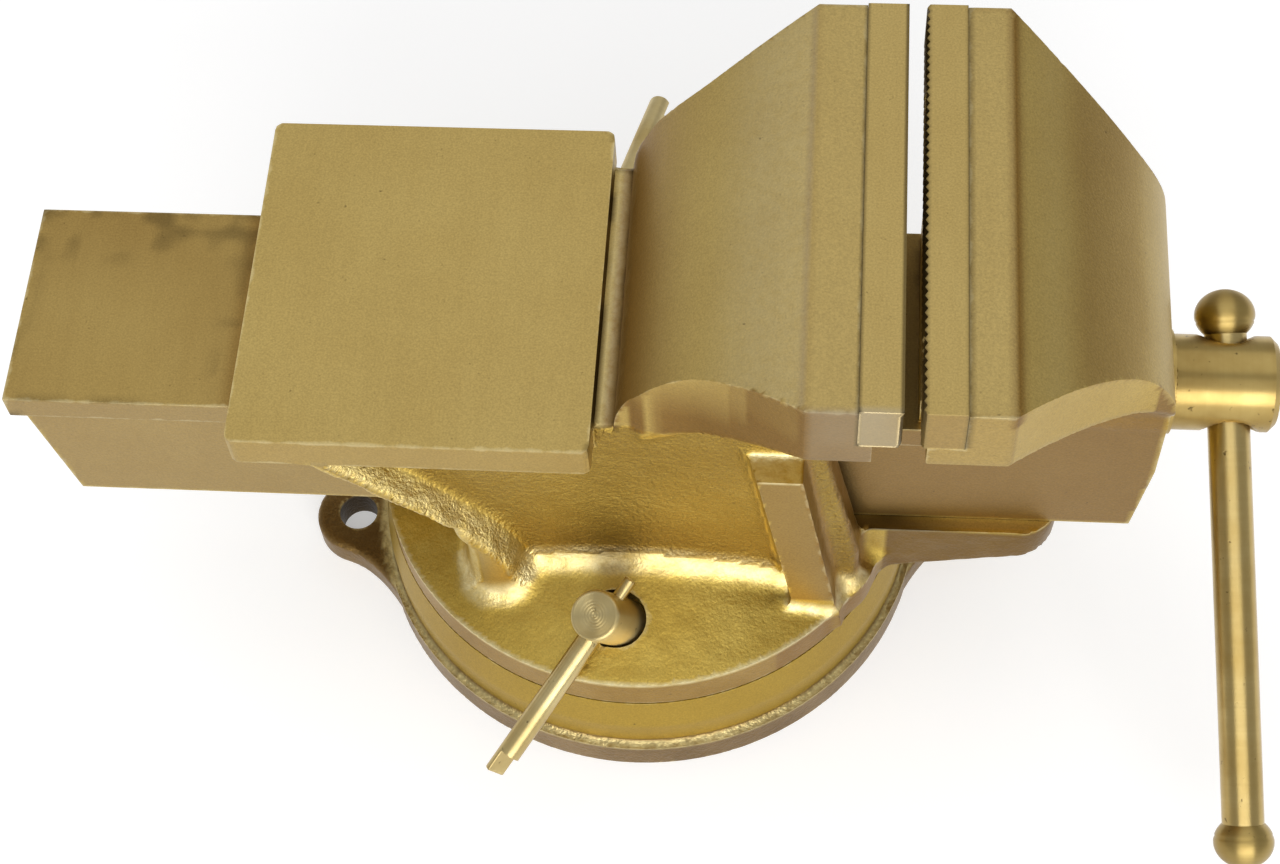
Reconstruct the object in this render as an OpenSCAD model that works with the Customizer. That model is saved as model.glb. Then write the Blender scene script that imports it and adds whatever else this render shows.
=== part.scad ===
// Parallel bench vise on a lockable swivel base, cast in aluminium bronze.
// Millimetres. The origin is on the swivel axis at the bench face, +X runs along
// the slide towards the handle and +Z is up.

/* [Jaws] */
// Width of both jaws across the vise
jaw_width = 150; // [120:1:180]
// Height of the jaw plates' tops over the bench
jaw_top = 212; // [200:1:230]
// Distance from the swivel axis to the fixed gripping face
jaw_reach = 86; // [80:1:95]
// Gap between the gripping faces as built
jaw_gap = 5.5; // [1:0.1:60]
// Thickness of a jaw plate
plate_thick = 13; // [10:0.5:16]
// Height of a jaw plate
plate_height = 20; // [16:0.5:26]
// Spacing of the serrations on a gripping face
tooth_pitch = 3; // [2:0.5:5]
// Depth of the serrations on a gripping face
tooth_depth = 1; // [0.5:0.1:1.5]
// How far the castings' tops lie below the plates' tops
band_drop = 1; // [0:0.5:3]
// Flat top of the fixed jaw casting behind its plate
fixed_band = 15.5; // [12:0.5:22]
// Flat top of the moving jaw casting in front of its plate
moving_band = 13.5; // [10:0.5:18]
// Depth of the ledge that carries the fixed plate
fixed_ledge = 4.5; // [3:0.5:8]
// Depth of the ledge that carries the moving plate
moving_ledge = 11; // [6:0.5:12]
// Height of the fixed jaw's wing at its end
fixed_wing = 31; // [26:1:36]
// Height of the moving jaw's wing at its end
moving_wing = 26; // [23:1:32]
// Width of the fixed jaw's neck above the body
jaw_neck = 93; // [86:1:99]

/* [Anvil] */
// Length of the anvil along the slide
anvil_length = 115; // [100:1:130]
// Width of the anvil
anvil_width = 123.7; // [110:0.1:135]
// Height of the anvil's face over the bench
anvil_top = 158.8; // [154:0.1:164]
// Thickness of the anvil's edge
anvil_lip = 13.6; // [10:0.1:16]
// Rounding of the anvil's corners
anvil_corner = 3; // [1:0.5:12]
// Distance from the swivel axis to the anvil's front end
anvil_front = 9.2; // [6:0.1:14]

/* [Slide] */
// Height of the slide's underside over the bench
slide_bottom = 74.3; // [70:0.1:78]
// Width over the slide's guide shoulder
shoulder_width = 75.7; // [72:0.1:80]
// Height of the guide shoulder
shoulder_height = 10.5; // [8:0.5:14]
// Width of the slide below its shoulder
web_width = 69.7; // [66:0.1:71]
// Thickness of the slide's side walls
slide_wall = 11.9; // [9:0.1:13]
// Thickness of the slide's top wall
slide_roof = 9.6; // [8:0.1:10]
// Length of the slide behind the gripping face
slide_rear = 296.5; // [280:0.5:310]
// Length of the slide in front of the gripping face
slide_front = 80.5; // [76:0.5:88]
// Thickness of the slide's front wall
front_wall = 26; // [20:1:32]
// How far the slide's rear end leans in from top to bottom
rear_lean = 8; // [0:1:15]

/* [Body] */
// Width over the body's side walls
body_width = 101; // [96:0.5:108]
// Radius of the foot disc
foot_radius = 93.3; // [90:0.1:98]
// Height of the foot's underside over the bench
foot_bottom = 39.7; // [36:0.1:42]
// Height of the foot's rim
foot_rim = 14.4; // [11:0.1:17]
// Rise of the foot's top from the rim to the walls
foot_rise = 7.5; // [4:0.5:10]
// Radius of the fillet between the walls and the foot
foot_fillet = 14; // [8:1:18]
// Thickness of the slanted gussets below the anvil
gusset_thick = 8; // [6:0.5:11]
// Distance from the swivel axis to a gusset's upper end
gusset_reach = 93; // [88:1:100]
// Distance from the swivel axis to a gusset's foot
gusset_foot = 34; // [28:1:40]
// Width of the front collar's side ribs along the slide
collar_thick = 12.5; // [9:0.5:16]
// Distance from the swivel axis to the collar ribs' tops
collar_place = 45; // [40:1:48]
// How far the collar leans forward from top to bottom
collar_lean = 13; // [8:1:16]
// How far the collar's end stands in front of its ribs
collar_lip = 6.5; // [4:0.5:9]
// Gap between the collar's mouth and the slide
mouth_gap = 3; // [1.5:0.5:4]
// Distance from the swivel axis to the tongue's end
tongue_reach = 144; // [120:1:150]
// Width of the tongue below the slide
tongue_width = 80; // [70:1:90]
// Thickness of the tongue at its end
tongue_thick = 13; // [9:0.5:16]

/* [Spindle] */
// Height of the spindle's axis over the bench
spindle_height = 111; // [104:0.5:116]
// Outer diameter of the spindle's thread
thread_diameter = 23.8; // [20:0.1:24.5]
// Diameter of the spindle's journal in the jaw
journal_diameter = 24; // [22:0.1:26]
// Length of the spindle behind the gripping face
spindle_rear = 241.5; // [230:0.5:260]
// Diameter of the spindle's head
head_diameter = 32; // [28:0.5:38]
// Length of the spindle's head
head_length = 34.5; // [30:0.5:40]
// Distance from the head's inner face to the handle's hole
handle_hole_place = 19; // [16:0.5:21]
// Height of the boss that the head turns against
boss_height = 3.5; // [2:0.5:6]
// Thickness of the thrust washer
thrust_thick = 2.5; // [1.5:0.5:4]
// Outer diameter of the thrust washer and the retaining ring
ring_diameter = 35; // [33:0.5:36]
// Length of the retaining ring
ring_length = 10; // [8:0.5:14]
// Diameter of the retaining ring's pin
pin_diameter = 5; // [4:0.5:6]
// Length of the spindle nut
nut_length = 50; // [40:1:60]
// Outer diameter of the nut's barrel
nut_diameter = 34; // [31:0.5:35]
// Distance from the swivel axis to the nut's middle
nut_place = 37; // [34:1:44]

/* [Handle] */
// Diameter of the handle bar
bar_diameter = 14; // [10:0.5:14]
// Diameter of the handle's hole in the spindle head
bar_hole = 16.8; // [16.4:0.1:17.4]
// Distance between the knobs' centres
knob_spacing = 178; // [150:0.5:220]
// Diameter of a handle knob
knob_diameter = 20; // [18.5:0.5:24]
// How far the handle hangs below level as built
handle_drop = 30; // [0:1:45]
// How far the loose bar leans along the slide in its hole
handle_lean = 4; // [0:0.5:4.5]

/* [Swivel base] */
// Radius of the base's foot flange
flange_radius = 99; // [96:0.5:106]
// Thickness of the base's foot flange
flange_thick = 12.9; // [10:0.1:16]
// Radius of the base's rough band
band_radius = 96.1; // [94:0.1:100]
// Height of the top of the rough band
band_top = 25.5; // [20:0.5:30]
// Radius of the base's top rim
rim_radius = 93.5; // [90:0.1:96]
// Distance between the two bench bolts
bolt_spacing = 217.6; // [210:0.1:230]
// Diameter of a bench bolt's hole
bolt_hole = 14; // [11:0.5:17]
// Radius of a lug's round end
lug_radius = 15.5; // [13:0.5:19]
// Width of a lug where it leaves the flange
lug_root = 56; // [44:1:70]
// Thickness of a lug
lug_thick = 12.5; // [9:0.5:15]
// Turn of the lugs from the slide's line
lug_turn = 4.5; // [0:0.5:90]
// Radius of the base's hub
hub_radius = 44; // [40:1:46]
// Inner radius of the base's outer wall
trough_radius = 82; // [78:1:86]
// Thickness of the base's floor
floor_thick = 9; // [7:0.5:11]
// Diameter of the swivel pivot
pivot_diameter = 20; // [16:0.5:22]

/* [Swivel locks] */
// Distance from the swivel axis to a lock screw's seat
lock_place = 71; // [70:0.5:74]
// Direction of the front lock screw's seat about the swivel axis
lock_direction = 266.2; // [262:0.1:274]
// Lean of a lock screw from upright
lock_lean = 26.3; // [20:0.1:30]
// Direction in which the front lock screw leans
lock_azimuth = 231.4; // [225:0.1:245]
// Diameter of a lock screw's head
lock_head = 17.5; // [15:0.5:19]
// Diameter of the counterbore around a lock screw's head
lock_counterbore = 20; // [19.5:0.5:22]
// Diameter of a lock screw's thread
lock_thread = 14; // [12:0.5:14.5]
// Length of a lock screw's head above its seat
lock_rise = 22.5; // [22:0.5:30]
// Distance from a lock screw's end face to its bar
lock_bar_depth = 9.5; // [6:0.5:10]
// Diameter of a lock bar
lock_bar = 8; // [6:0.5:9]
// Length of a lock bar from its screw's axis
lock_bar_length = 65; // [55:1:80]
// Diameter of the lock bar's tenon through the screw
tenon_diameter = 4.4; // [3.5:0.1:5]
// Turn of the front lock bar as built
front_bar_turn = 1; // [-25:1:125]
// Turn of the rear lock bar as built
rear_bar_turn = 46; // [-25:1:125]
// Distance by which the rear lock screw is backed off as built
rear_lock_lift = 20; // [0:1:22]

/* [Fits] */
// Gap between the sliding faces
slide_gap = 0.2; // [0.1:0.05:0.3]
// Radial gap of a shaft that turns in its hole
shaft_gap = 0.08; // [0.02:0.01:0.1]
// Gap between faces that are screwed, pressed or pinned together
joint_gap = 0.03; // [0.01:0.01:0.05]
// Gap between parts that only rest on each other
rest_gap = 0.3; // [0.1:0.05:0.4]
// Gap between the retaining ring and the slide's roof
ring_clear = 0.5; // [0.3:0.1:2]

/* [Hidden] */
$fn = 64;

// How far a cut reaches past the face it opens, and one shape reaches into another
past = 2;
// Steps along a curved outline
curve_steps = 14;
// Small chamfer on turned edges
chamfer = 1;

// Places along the slide
grip = jaw_reach + jaw_gap;
fixed_seat = jaw_reach - plate_thick;
moving_seat = grip + plate_thick;
fixed_ledge_x = fixed_seat + fixed_ledge;
moving_ledge_x = moving_seat - moving_ledge;
fixed_band_x = fixed_seat - fixed_band;
moving_band_x = moving_seat + moving_band;
shelf_length = 7;
fixed_back = shelf_length - anvil_front;
slide_end = grip - slide_rear;
slide_nose = grip + slide_front;
boss_face = slide_nose + boss_height;
head_face = boss_face + thrust_thick;
handle_place = head_face + handle_hole_place;
channel_end = slide_nose - front_wall;
ring_place = channel_end - slide_gap - ring_length;
spindle_end = grip - spindle_rear;
anvil_rear = -anvil_front - anvil_length;

// Heights
plate_bottom = jaw_top - plate_height;
casting_top = jaw_top - band_drop;
channel_top = spindle_height + ring_diameter / 2 + ring_clear;
slide_top = channel_top + slide_roof;
shoulder_bottom = slide_top - shoulder_height;
anvil_bottom = anvil_top - anvil_lip;
shelf_drop = 3.5;
shelf_top = anvil_top - shelf_drop;
tunnel_floor = slide_bottom - slide_gap;
tunnel_roof = slide_top + slide_gap;
rim_top = foot_bottom + foot_rim;
foot_top = rim_top + foot_rise;
foot_slope = foot_rise / (foot_radius - body_width / 2);
base_top = foot_bottom - slide_gap;

// Jaw castings: share of straight fall in the crown, power of the flare, foot of the crown
fixed_fall = 0.3;
fixed_flare = 1.39;
flare_setback = 10;
fixed_flare_end = fixed_back + flare_setback;
moving_fall = 0.42;
moving_flare = 1.36;
moving_heel = 17;
moving_foot = slide_top + moving_heel;
neck_margin = 3;
moving_neck = web_width / 2 + neck_margin;
jaw_throat = 20;
wing_edge = 6;
boss_margin = 4.5;
boss_diameter = ring_diameter + 2 * boss_margin;
web_setback = 3;

// Cap screws: the jaw plates', the nut's and the pivot
plate_screw = 8;
plate_screw_head = 13;
plate_screw_head_depth = 8;
plate_screw_length = 24;
plate_screw_inset = 30;
plate_screw_place = jaw_width / 2 - plate_screw_inset;
plate_screw_key = 6;
nut_screw_diameter = 12;
nut_screw_head = 18;
nut_screw_head_depth = 11;
nut_screw_clear = 9;
nut_screw_end = spindle_height - thread_diameter / 2 - nut_screw_clear;
nut_screw_key = 10;
nut_counterbore = 15;
nut_seat = foot_bottom + nut_counterbore;
nut_washer_diameter = 22;
nut_washer_thick = 2;
nut_foot_width = nut_diameter - 2;
pivot_head = 30;
pivot_head_depth = 9;
pivot_key = 14;
pivot_grip = 22;
pivot_seat = 14;
pivot_washer_diameter = 38;
pivot_washer_thick = 3;
pivot_washer_top = pivot_seat - slide_gap;

// How far the fillets' feet lie below the foot's top
fillet_sink = 3;

// Gussets: upright thickness of the slanted arm, width of the foot, fall from the bend to the foot
gusset_arm = 1.6 * gusset_thick;
gusset_root = gusset_thick + gusset_arm;
gusset_fall = 19;
gusset_bend = gusset_thick / 2 - (gusset_reach + gusset_foot) / 2;
gusset_bend_height = (anvil_bottom + foot_top) / 2 + gusset_thick;
// Their lower edge, which is also the rear edge of the side walls
gusset_edge = [
    [-gusset_foot - gusset_root, rim_top],
    [-gusset_foot - gusset_root, gusset_bend_height - gusset_fall - gusset_arm / 2],
    [gusset_bend, gusset_bend_height - gusset_arm],
    [-gusset_reach - gusset_arm, anvil_bottom + past]
];

// Handle: the knob stops where its ball meets the rim of the leaning bar's hole
knob_offset = (head_diameter + knob_diameter) / 2 * sin(handle_lean);
knob_stop = head_diameter / 2
    + sqrt(pow(knob_diameter / 2 + rest_gap, 2) - pow(bar_hole / 2 - knob_offset, 2));

// Swivel locks, with depths along a lock screw's axis from its seat
lock_seat = rim_top + foot_slope * (foot_radius - lock_place);
lock_sink = 5;
lock_tighten = 3;
lock_tip = 40;
lock_dome = 4;
tip_gap = 1.2;
lock_bar_rise = lock_rise - lock_bar_depth;
tenon_shoulder = 5;
tenon_tail = 7;
tenon_end = lock_head / 2 + tenon_tail;
bar_flat = 8;
tip_radius = norm([
    lock_place * cos(lock_direction) - lock_tip * sin(lock_lean) * cos(lock_azimuth),
    lock_place * sin(lock_direction) - lock_tip * sin(lock_lean) * sin(lock_azimuth)
]);
tip_height = lock_seat - lock_tip * cos(lock_lean);

function crown(u, fall) = fall * u + (1 - fall) * (1 - sqrt(1 - u * u));
// Height of the base's conical floor at radius r, just below the lock screws' tips
function trough_floor(r) = tip_height - tip_gap - (r - tip_radius) * tan(lock_lean);
// Points of a quarter ellipse from its end on the axis to its full radius
function dome(radius, height, base) =
    [for (i = [0 : 6]) [radius * sin(15 * i), base + height * (1 - cos(15 * i))]];
function mirrored(points) = [for (i = [len(points) - 1 : -1 : 0]) [points[i][0], -points[i][1]]];

// Stands an outline in x and z upright, centred on the slide's line
module upright(depth) {
    rotate([90, 0, 0])
        linear_extrude(depth, center = true)
            children();
}

// Points its children's z axis along the slide
module along_slide(x, y, z) {
    translate([x, y, z])
        rotate([0, 90, 0])
            children();
}

// Side view of a jaw: flat band, crowned back and underside
module jaw_side(ledge_x, band_x, foot_x, foot_z, fall, under_band, under_foot) {
    polygon(concat(
        [[ledge_x, under_band], [ledge_x, casting_top]],
        [for (i = [0 : curve_steps])
            let (u = sin(90 * i / curve_steps))
                [band_x + (foot_x - band_x) * u, casting_top - (casting_top - foot_z) * crown(u, fall)]],
        [[foot_x, under_foot], [band_x, under_band]]
    ));
}

// Plan of a jaw: full width at its band, narrowing to its neck
module jaw_plan(ledge_x, band_x, foot_x, neck, flare) {
    edge = concat(
        [[ledge_x, jaw_width / 2]],
        [for (i = [0 : curve_steps])
            let (u = i / curve_steps)
                [band_x + (foot_x - band_x) * u, neck + (jaw_width / 2 - neck) * pow(1 - u, flare)]]
    );
    polygon(concat(edge, mirrored(edge)));
}

// Serrated plate with its back at x = 0 and its teeth towards +x
module jaw_plate() {
    teeth = round(jaw_width / tooth_pitch);
    half_tooth = jaw_width / teeth / 2;
    valley = plate_thick - tooth_depth;
    difference() {
        linear_extrude(plate_height)
            polygon(concat(
                [[0, jaw_width / 2], [0, -jaw_width / 2]],
                [for (i = [0 : 2 * teeth])
                    [i % 2 == 0 ? valley : plate_thick, -jaw_width / 2 + i * half_tooth]]
            ));
        at_plate_screws() {
            translate([0, 0, -plate_thick])
                cylinder(d = plate_screw + 2 * joint_gap, h = 3 * plate_thick);
            translate([0, 0, -plate_thick])
                cylinder(
                    d = plate_screw_head + 2 * joint_gap,
                    h = plate_thick + plate_screw_head_depth + joint_gap
                );
        }
    }
}

// Frames of a plate's screws: z into the jaw, from the screw heads' end faces
module at_plate_screws() {
    for (y = [-plate_screw_place, plate_screw_place])
        translate([plate_thick - tooth_depth, y, plate_height / 2])
            rotate([0, -90, 0])
                children();
}

module plate_taps() {
    at_plate_screws()
        cylinder(d = plate_screw + 2 * joint_gap, h = plate_screw_length + past);
}

// Socket head screw with its end face at z = 0 and its shank towards +z
module cap_screw(shank, head, head_depth, length, key) {
    difference() {
        union() {
            cylinder(d = head, h = head_depth);
            cylinder(d = shank, h = length);
        }
        translate([0, 0, -past])
            cylinder(d = key / cos(30), h = past + head_depth / 2, $fn = 6);
    }
}

module plate_screws() {
    at_plate_screws()
        cap_screw(
            plate_screw, plate_screw_head, plate_screw_head_depth,
            plate_screw_length, plate_screw_key
        );
}

module ring(outer, bore, thick) {
    difference() {
        cylinder(d = outer, h = thick);
        translate([0, 0, -past])
            cylinder(d = bore, h = thick + 2 * past);
    }
}

module at_fixed_plate() {
    translate([fixed_seat, 0, plate_bottom])
        children();
}

module at_moving_plate() {
    translate([moving_seat, 0, plate_bottom])
        rotate([0, 0, 180])
            children();
}

// Frame of the handle's hole: z along the hole towards the lower knob
module at_handle_hole() {
    translate([handle_place, 0, spindle_height])
        rotate([90 + handle_drop, 0, 0])
            children();
}

// Frame of the loose bar in that hole
module at_handle() {
    at_handle_hole()
        rotate([0, handle_lean, 0])
            children();
}

module at_ring_pin() {
    translate([ring_place + ring_length / 2, 0, spindle_height])
        children();
}

// Frame of a lock screw: z up its axis from its seat, x down its lean, with side -1 for the rear one
module at_lock(side) {
    translate([lock_place * cos(lock_direction), side * lock_place * sin(lock_direction), lock_seat])
        rotate([0, lock_lean, side * lock_azimuth])
            children();
}

// Frame of a lock bar: z along the bar from the screw's axis
module at_lock_bar(turn) {
    rotate([0, 0, turn])
        translate([0, 0, lock_bar_rise])
            rotate([0, 90, 0])
                children();
}

module at_lugs() {
    for (turn = [0, 180])
        rotate([0, 0, lug_turn + turn])
            children();
}

module swivel_base() {
    recess = pivot_washer_diameter / 2 + past;
    hollow = recess + floor_thick;
    color("#86683a")
        difference() {
            union() {
                rotate_extrude()
                    polygon([
                        [recess, 0], [flange_radius - chamfer, 0], [flange_radius, chamfer],
                        [flange_radius, flange_thick], [band_radius, flange_thick], [band_radius, band_top],
                        [rim_radius, base_top], [trough_radius, base_top],
                        [trough_radius, trough_floor(trough_radius)], [hub_radius, trough_floor(hub_radius)],
                        [hub_radius, base_top], [0, base_top], [0, pivot_seat], [recess, pivot_seat]
                    ]);
                at_lugs()
                    difference() {
                        linear_extrude(lug_thick)
                            hull() {
                                translate([bolt_spacing / 2, 0])
                                    circle(r = lug_radius);
                                translate([flange_radius - lug_radius, 0])
                                    square([past, lug_root], center = true);
                            }
                        cylinder(r = band_radius - past, h = 3 * lug_thick, center = true);
                    }
            }
            rotate_extrude()
                polygon([
                    [hollow, -past], [trough_radius, -past],
                    [trough_radius, trough_floor(trough_radius) - floor_thick],
                    [hub_radius, trough_floor(hub_radius) - floor_thick],
                    [hollow, trough_floor(hub_radius) - floor_thick]
                ]);
            cylinder(d = pivot_diameter + 2 * shaft_gap, h = foot_bottom + past);
            at_lugs()
                translate([bolt_spacing / 2, 0, -past])
                    cylinder(d = bolt_hole, h = lug_thick + 2 * past);
        }
}

module gussets() {
    upright(anvil_width)
        polygon(concat(gusset_edge, [
            [-gusset_reach, anvil_bottom + past], [gusset_bend, gusset_bend_height],
            [-gusset_foot - gusset_thick, gusset_bend_height - gusset_fall], [-gusset_foot, rim_top]
        ]));
}

module side_walls() {
    front = collar_place + collar_thick + collar_lip;
    upright(body_width)
        polygon(concat(gusset_edge, [
            [front, anvil_bottom + past], [front + collar_lean, tunnel_floor], [front + collar_lean, rim_top]
        ]));
}

module collar_ribs() {
    top = tunnel_roof + mouth_gap + past;
    upright(anvil_width)
        polygon([
            [collar_place, top], [collar_place + collar_thick, top],
            [collar_place + collar_thick + collar_lean, rim_top], [collar_place + collar_lean, rim_top]
        ]);
}

// Fillets along the walls, between the gussets and the collar's ribs
module wall_fillets() {
    wall = body_width / 2;
    start = -gusset_foot - gusset_thick;
    end = collar_place + collar_lean + collar_thick / 2;
    fillet_foot = foot_top - foot_slope * foot_fillet - fillet_sink;
    translate([start, 0, 0])
        rotate([90, 0, 90])
            linear_extrude(end - start)
                difference() {
                    translate([-wall - foot_fillet, foot_bottom + past])
                        square([body_width + 2 * foot_fillet, fillet_foot + foot_fillet - foot_bottom - past]);
                    for (side = [-1, 1])
                        translate([side * (wall + foot_fillet), fillet_foot + foot_fillet])
                            circle(r = foot_fillet);
                }
}

module tongue() {
    tip = tongue_thick;
    intersection() {
        upright(tongue_width)
            polygon([
                [collar_place, tunnel_floor], [tongue_reach, tunnel_floor],
                [tongue_reach, tunnel_floor - tongue_thick], [foot_radius - foot_rise, rim_top - foot_rise],
                [collar_place, rim_top - foot_rise]
            ]);
        linear_extrude(jaw_top)
            union() {
                translate([0, -tongue_width / 2])
                    square([tongue_reach - tip, tongue_width]);
                translate([0, tip - tongue_width / 2])
                    square([tongue_reach, tongue_width - 2 * tip]);
                for (side = [-1, 1])
                    translate([tongue_reach - tip, side * (tongue_width / 2 - tip)])
                        circle(r = tip);
            }
    }
}

module anvil() {
    translate([anvil_rear + anvil_length / 2, 0, anvil_bottom])
        linear_extrude(anvil_lip)
            union() {
                square([anvil_length - 2 * anvil_corner, anvil_width], center = true);
                square([anvil_length, anvil_width - 2 * anvil_corner], center = true);
                for (x = [-1, 1])
                    for (y = [-1, 1])
                        translate([
                            x * (anvil_length / 2 - anvil_corner),
                            y * (anvil_width / 2 - anvil_corner)
                        ])
                            circle(r = anvil_corner);
            }
    translate([-anvil_front - past, -body_width / 2, anvil_bottom])
        cube([anvil_front + fixed_band, body_width, shelf_top - anvil_bottom]);
}

module fixed_jaw() {
    throat = plate_bottom - jaw_throat;
    wing = jaw_top - fixed_wing;
    upright(jaw_neck)
        jaw_side(fixed_ledge_x, fixed_band_x, fixed_back, shelf_top, fixed_fall, throat, anvil_bottom);
    upright(jaw_neck)
        polygon([
            [fixed_ledge_x, throat + past], [fixed_ledge_x, throat],
            [collar_place + collar_thick + collar_lip, anvil_bottom], [fixed_back, anvil_bottom],
            [fixed_back + fixed_band, throat + past]
        ]);
    intersection() {
        upright(jaw_width + past)
            jaw_side(fixed_ledge_x, fixed_band_x, fixed_back, shelf_top, fixed_fall, wing, anvil_bottom);
        linear_extrude(jaw_top)
            jaw_plan(fixed_ledge_x, fixed_band_x, fixed_flare_end, jaw_neck / 2, fixed_flare);
    }
}

module tunnel() {
    reach = anvil_length + jaw_width;
    shoulder = shoulder_width + 2 * slide_gap;
    web = web_width + 2 * slide_gap;
    mouth = shoulder_width + 2 * mouth_gap;
    translate([anvil_rear - past, -web / 2, tunnel_floor])
        cube([reach, web, tunnel_roof - tunnel_floor]);
    translate([anvil_rear - past, -shoulder / 2, shoulder_bottom - slide_gap])
        cube([reach, shoulder, tunnel_roof - shoulder_bottom + slide_gap]);
    translate([collar_place + collar_thick, -mouth / 2, tunnel_floor])
        cube([reach, mouth, tunnel_roof - tunnel_floor + mouth_gap]);
}

// Threaded hole and counterbore for a lock screw, with their seam turned across the lean
module lock_bore() {
    hole = lock_thread / 2 + shaft_gap;
    floor_depth = lock_sink + lock_tighten;
    rotate([0, 0, 90])
        rotate_extrude()
            polygon([
                [0, -lock_tip], [hole, -lock_tip], [hole, -floor_depth],
                [lock_counterbore / 2, -floor_depth], [lock_counterbore / 2, lock_rise], [0, lock_rise]
            ]);
}

// Foot disc with its fillets and the lock screws' holes
module foot() {
    difference() {
        union() {
            rotate_extrude()
                polygon([
                    [0, foot_bottom], [foot_radius, foot_bottom], [foot_radius, rim_top],
                    [0, rim_top + foot_slope * foot_radius]
                ]);
            wall_fillets();
        }
        for (side = [1, -1])
            at_lock(side)
                lock_bore();
    }
}

module vise_body() {
    color("#b88a3c")
        difference() {
            union() {
                foot();
                side_walls();
                gussets();
                collar_ribs();
                tongue();
                anvil();
                fixed_jaw();
            }
            tunnel();
            translate([fixed_seat, -jaw_width, plate_bottom])
                cube([jaw_width, 2 * jaw_width, plate_height + past]);
            at_fixed_plate()
                plate_taps();
            cylinder(d = pivot_diameter + 2 * joint_gap, h = foot_bottom + pivot_grip + past);
            translate([nut_place, 0, 0]) {
                cylinder(d = nut_screw_diameter + 2 * joint_gap, h = jaw_top / 2);
                cylinder(d = nut_washer_diameter + past, h = nut_seat);
            }
        }
}

module fixed_jaw_plate() {
    color("#b9a06a")
        at_fixed_plate()
            jaw_plate();
}

module fixed_jaw_screws() {
    color("#a58a4c")
        at_fixed_plate()
            plate_screws();
}

module spindle_nut() {
    color("#b08a45")
        difference() {
            union() {
                along_slide(nut_place - nut_length / 2, 0, spindle_height)
                    cylinder(d = nut_diameter, h = nut_length);
                translate([nut_place - nut_length / 2, -nut_foot_width / 2, tunnel_floor])
                    cube([nut_length, nut_foot_width, spindle_height - tunnel_floor]);
            }
            along_slide(nut_place - nut_length, 0, spindle_height)
                cylinder(d = thread_diameter + 2 * shaft_gap, h = 2 * nut_length);
            translate([nut_place, 0, 0])
                cylinder(d = nut_screw_diameter + 2 * joint_gap, h = nut_screw_end + past);
        }
}

module nut_screw() {
    start = nut_seat - nut_washer_thick - nut_screw_head_depth;
    color("#a58a4c")
        translate([nut_place, 0, start])
            cap_screw(
                nut_screw_diameter, nut_screw_head, nut_screw_head_depth,
                nut_screw_end - start, nut_screw_key
            );
}

module nut_washer() {
    color("#b9a06a")
        translate([nut_place, 0, nut_seat - nut_washer_thick])
            ring(nut_washer_diameter, nut_screw_diameter + 2 * joint_gap, nut_washer_thick);
}

module pivot_bolt() {
    start = pivot_washer_top - pivot_washer_thick - pivot_head_depth;
    color("#a58a4c")
        translate([0, 0, start])
            cap_screw(
                pivot_diameter, pivot_head, pivot_head_depth,
                foot_bottom + pivot_grip - start, pivot_key
            );
}

module pivot_washer() {
    color("#b9a06a")
        translate([0, 0, pivot_washer_top - pivot_washer_thick])
            ring(pivot_washer_diameter, pivot_diameter + 2 * joint_gap, pivot_washer_thick);
}

module moving_jaw() {
    nose_lean = rear_lean / 2;
    web_end = slide_end + web_setback;
    channel = web_width - 2 * slide_wall;
    wing = jaw_top - moving_wing;
    color("#bf9444")
        difference() {
            union() {
                translate([slide_end, -shoulder_width / 2, shoulder_bottom])
                    cube([moving_ledge_x - slide_end, shoulder_width, shoulder_height]);
                upright(web_width)
                    polygon([
                        [web_end, slide_top - past], [web_end, shoulder_bottom],
                        [web_end + rear_lean, slide_bottom], [slide_nose - nose_lean, slide_bottom],
                        [slide_nose, spindle_height], [slide_nose, slide_top],
                        [moving_ledge_x, slide_top], [moving_ledge_x, slide_top - past]
                    ]);
                upright(web_width)
                    jaw_side(
                        moving_ledge_x, moving_band_x, slide_nose, moving_foot, moving_fall,
                        slide_top - past, slide_top - past
                    );
                intersection() {
                    upright(jaw_width + past)
                        jaw_side(
                            moving_ledge_x, moving_band_x, slide_nose, moving_foot, moving_fall,
                            wing, moving_foot - wing_edge
                        );
                    linear_extrude(jaw_top)
                        jaw_plan(moving_ledge_x, moving_band_x, slide_nose, moving_neck, moving_flare);
                }
                along_slide(slide_nose - past, 0, spindle_height)
                    cylinder(d = boss_diameter, h = boss_height + past);
            }
            translate([moving_seat - jaw_width, -jaw_width, plate_bottom])
                cube([jaw_width, 2 * jaw_width, plate_height + past]);
            at_moving_plate()
                plate_taps();
            translate([slide_end - past, -channel / 2, slide_bottom - past])
                cube([channel_end - slide_end + past, channel, channel_top - slide_bottom + past]);
            along_slide(channel_end - past, 0, spindle_height)
                cylinder(d = journal_diameter + 2 * shaft_gap, h = front_wall + boss_height + 2 * past);
        }
}

module moving_jaw_plate() {
    color("#b9a06a")
        at_moving_plate()
            jaw_plate();
}

module moving_jaw_screws() {
    color("#a58a4c")
        at_moving_plate()
            plate_screws();
}

module spindle() {
    journal = ring_place - ring_length / 2 - spindle_end;
    head = head_face - spindle_end;
    color("#c0984a")
        difference() {
            along_slide(spindle_end, 0, spindle_height)
                rotate_extrude()
                    polygon([
                        [0, 0], [thread_diameter / 2 - 2 * chamfer, 0], [thread_diameter / 2, 2 * chamfer],
                        [thread_diameter / 2, journal], [journal_diameter / 2, journal],
                        [journal_diameter / 2, head], [head_diameter / 2, head],
                        [head_diameter / 2, head + head_length - chamfer],
                        [head_diameter / 2 - chamfer, head + head_length], [0, head + head_length]
                    ]);
            at_handle_hole()
                cylinder(d = bar_hole, h = 2 * head_diameter, center = true);
            at_ring_pin()
                cylinder(d = pin_diameter + 2 * joint_gap, h = 2 * ring_diameter, center = true);
        }
}

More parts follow.
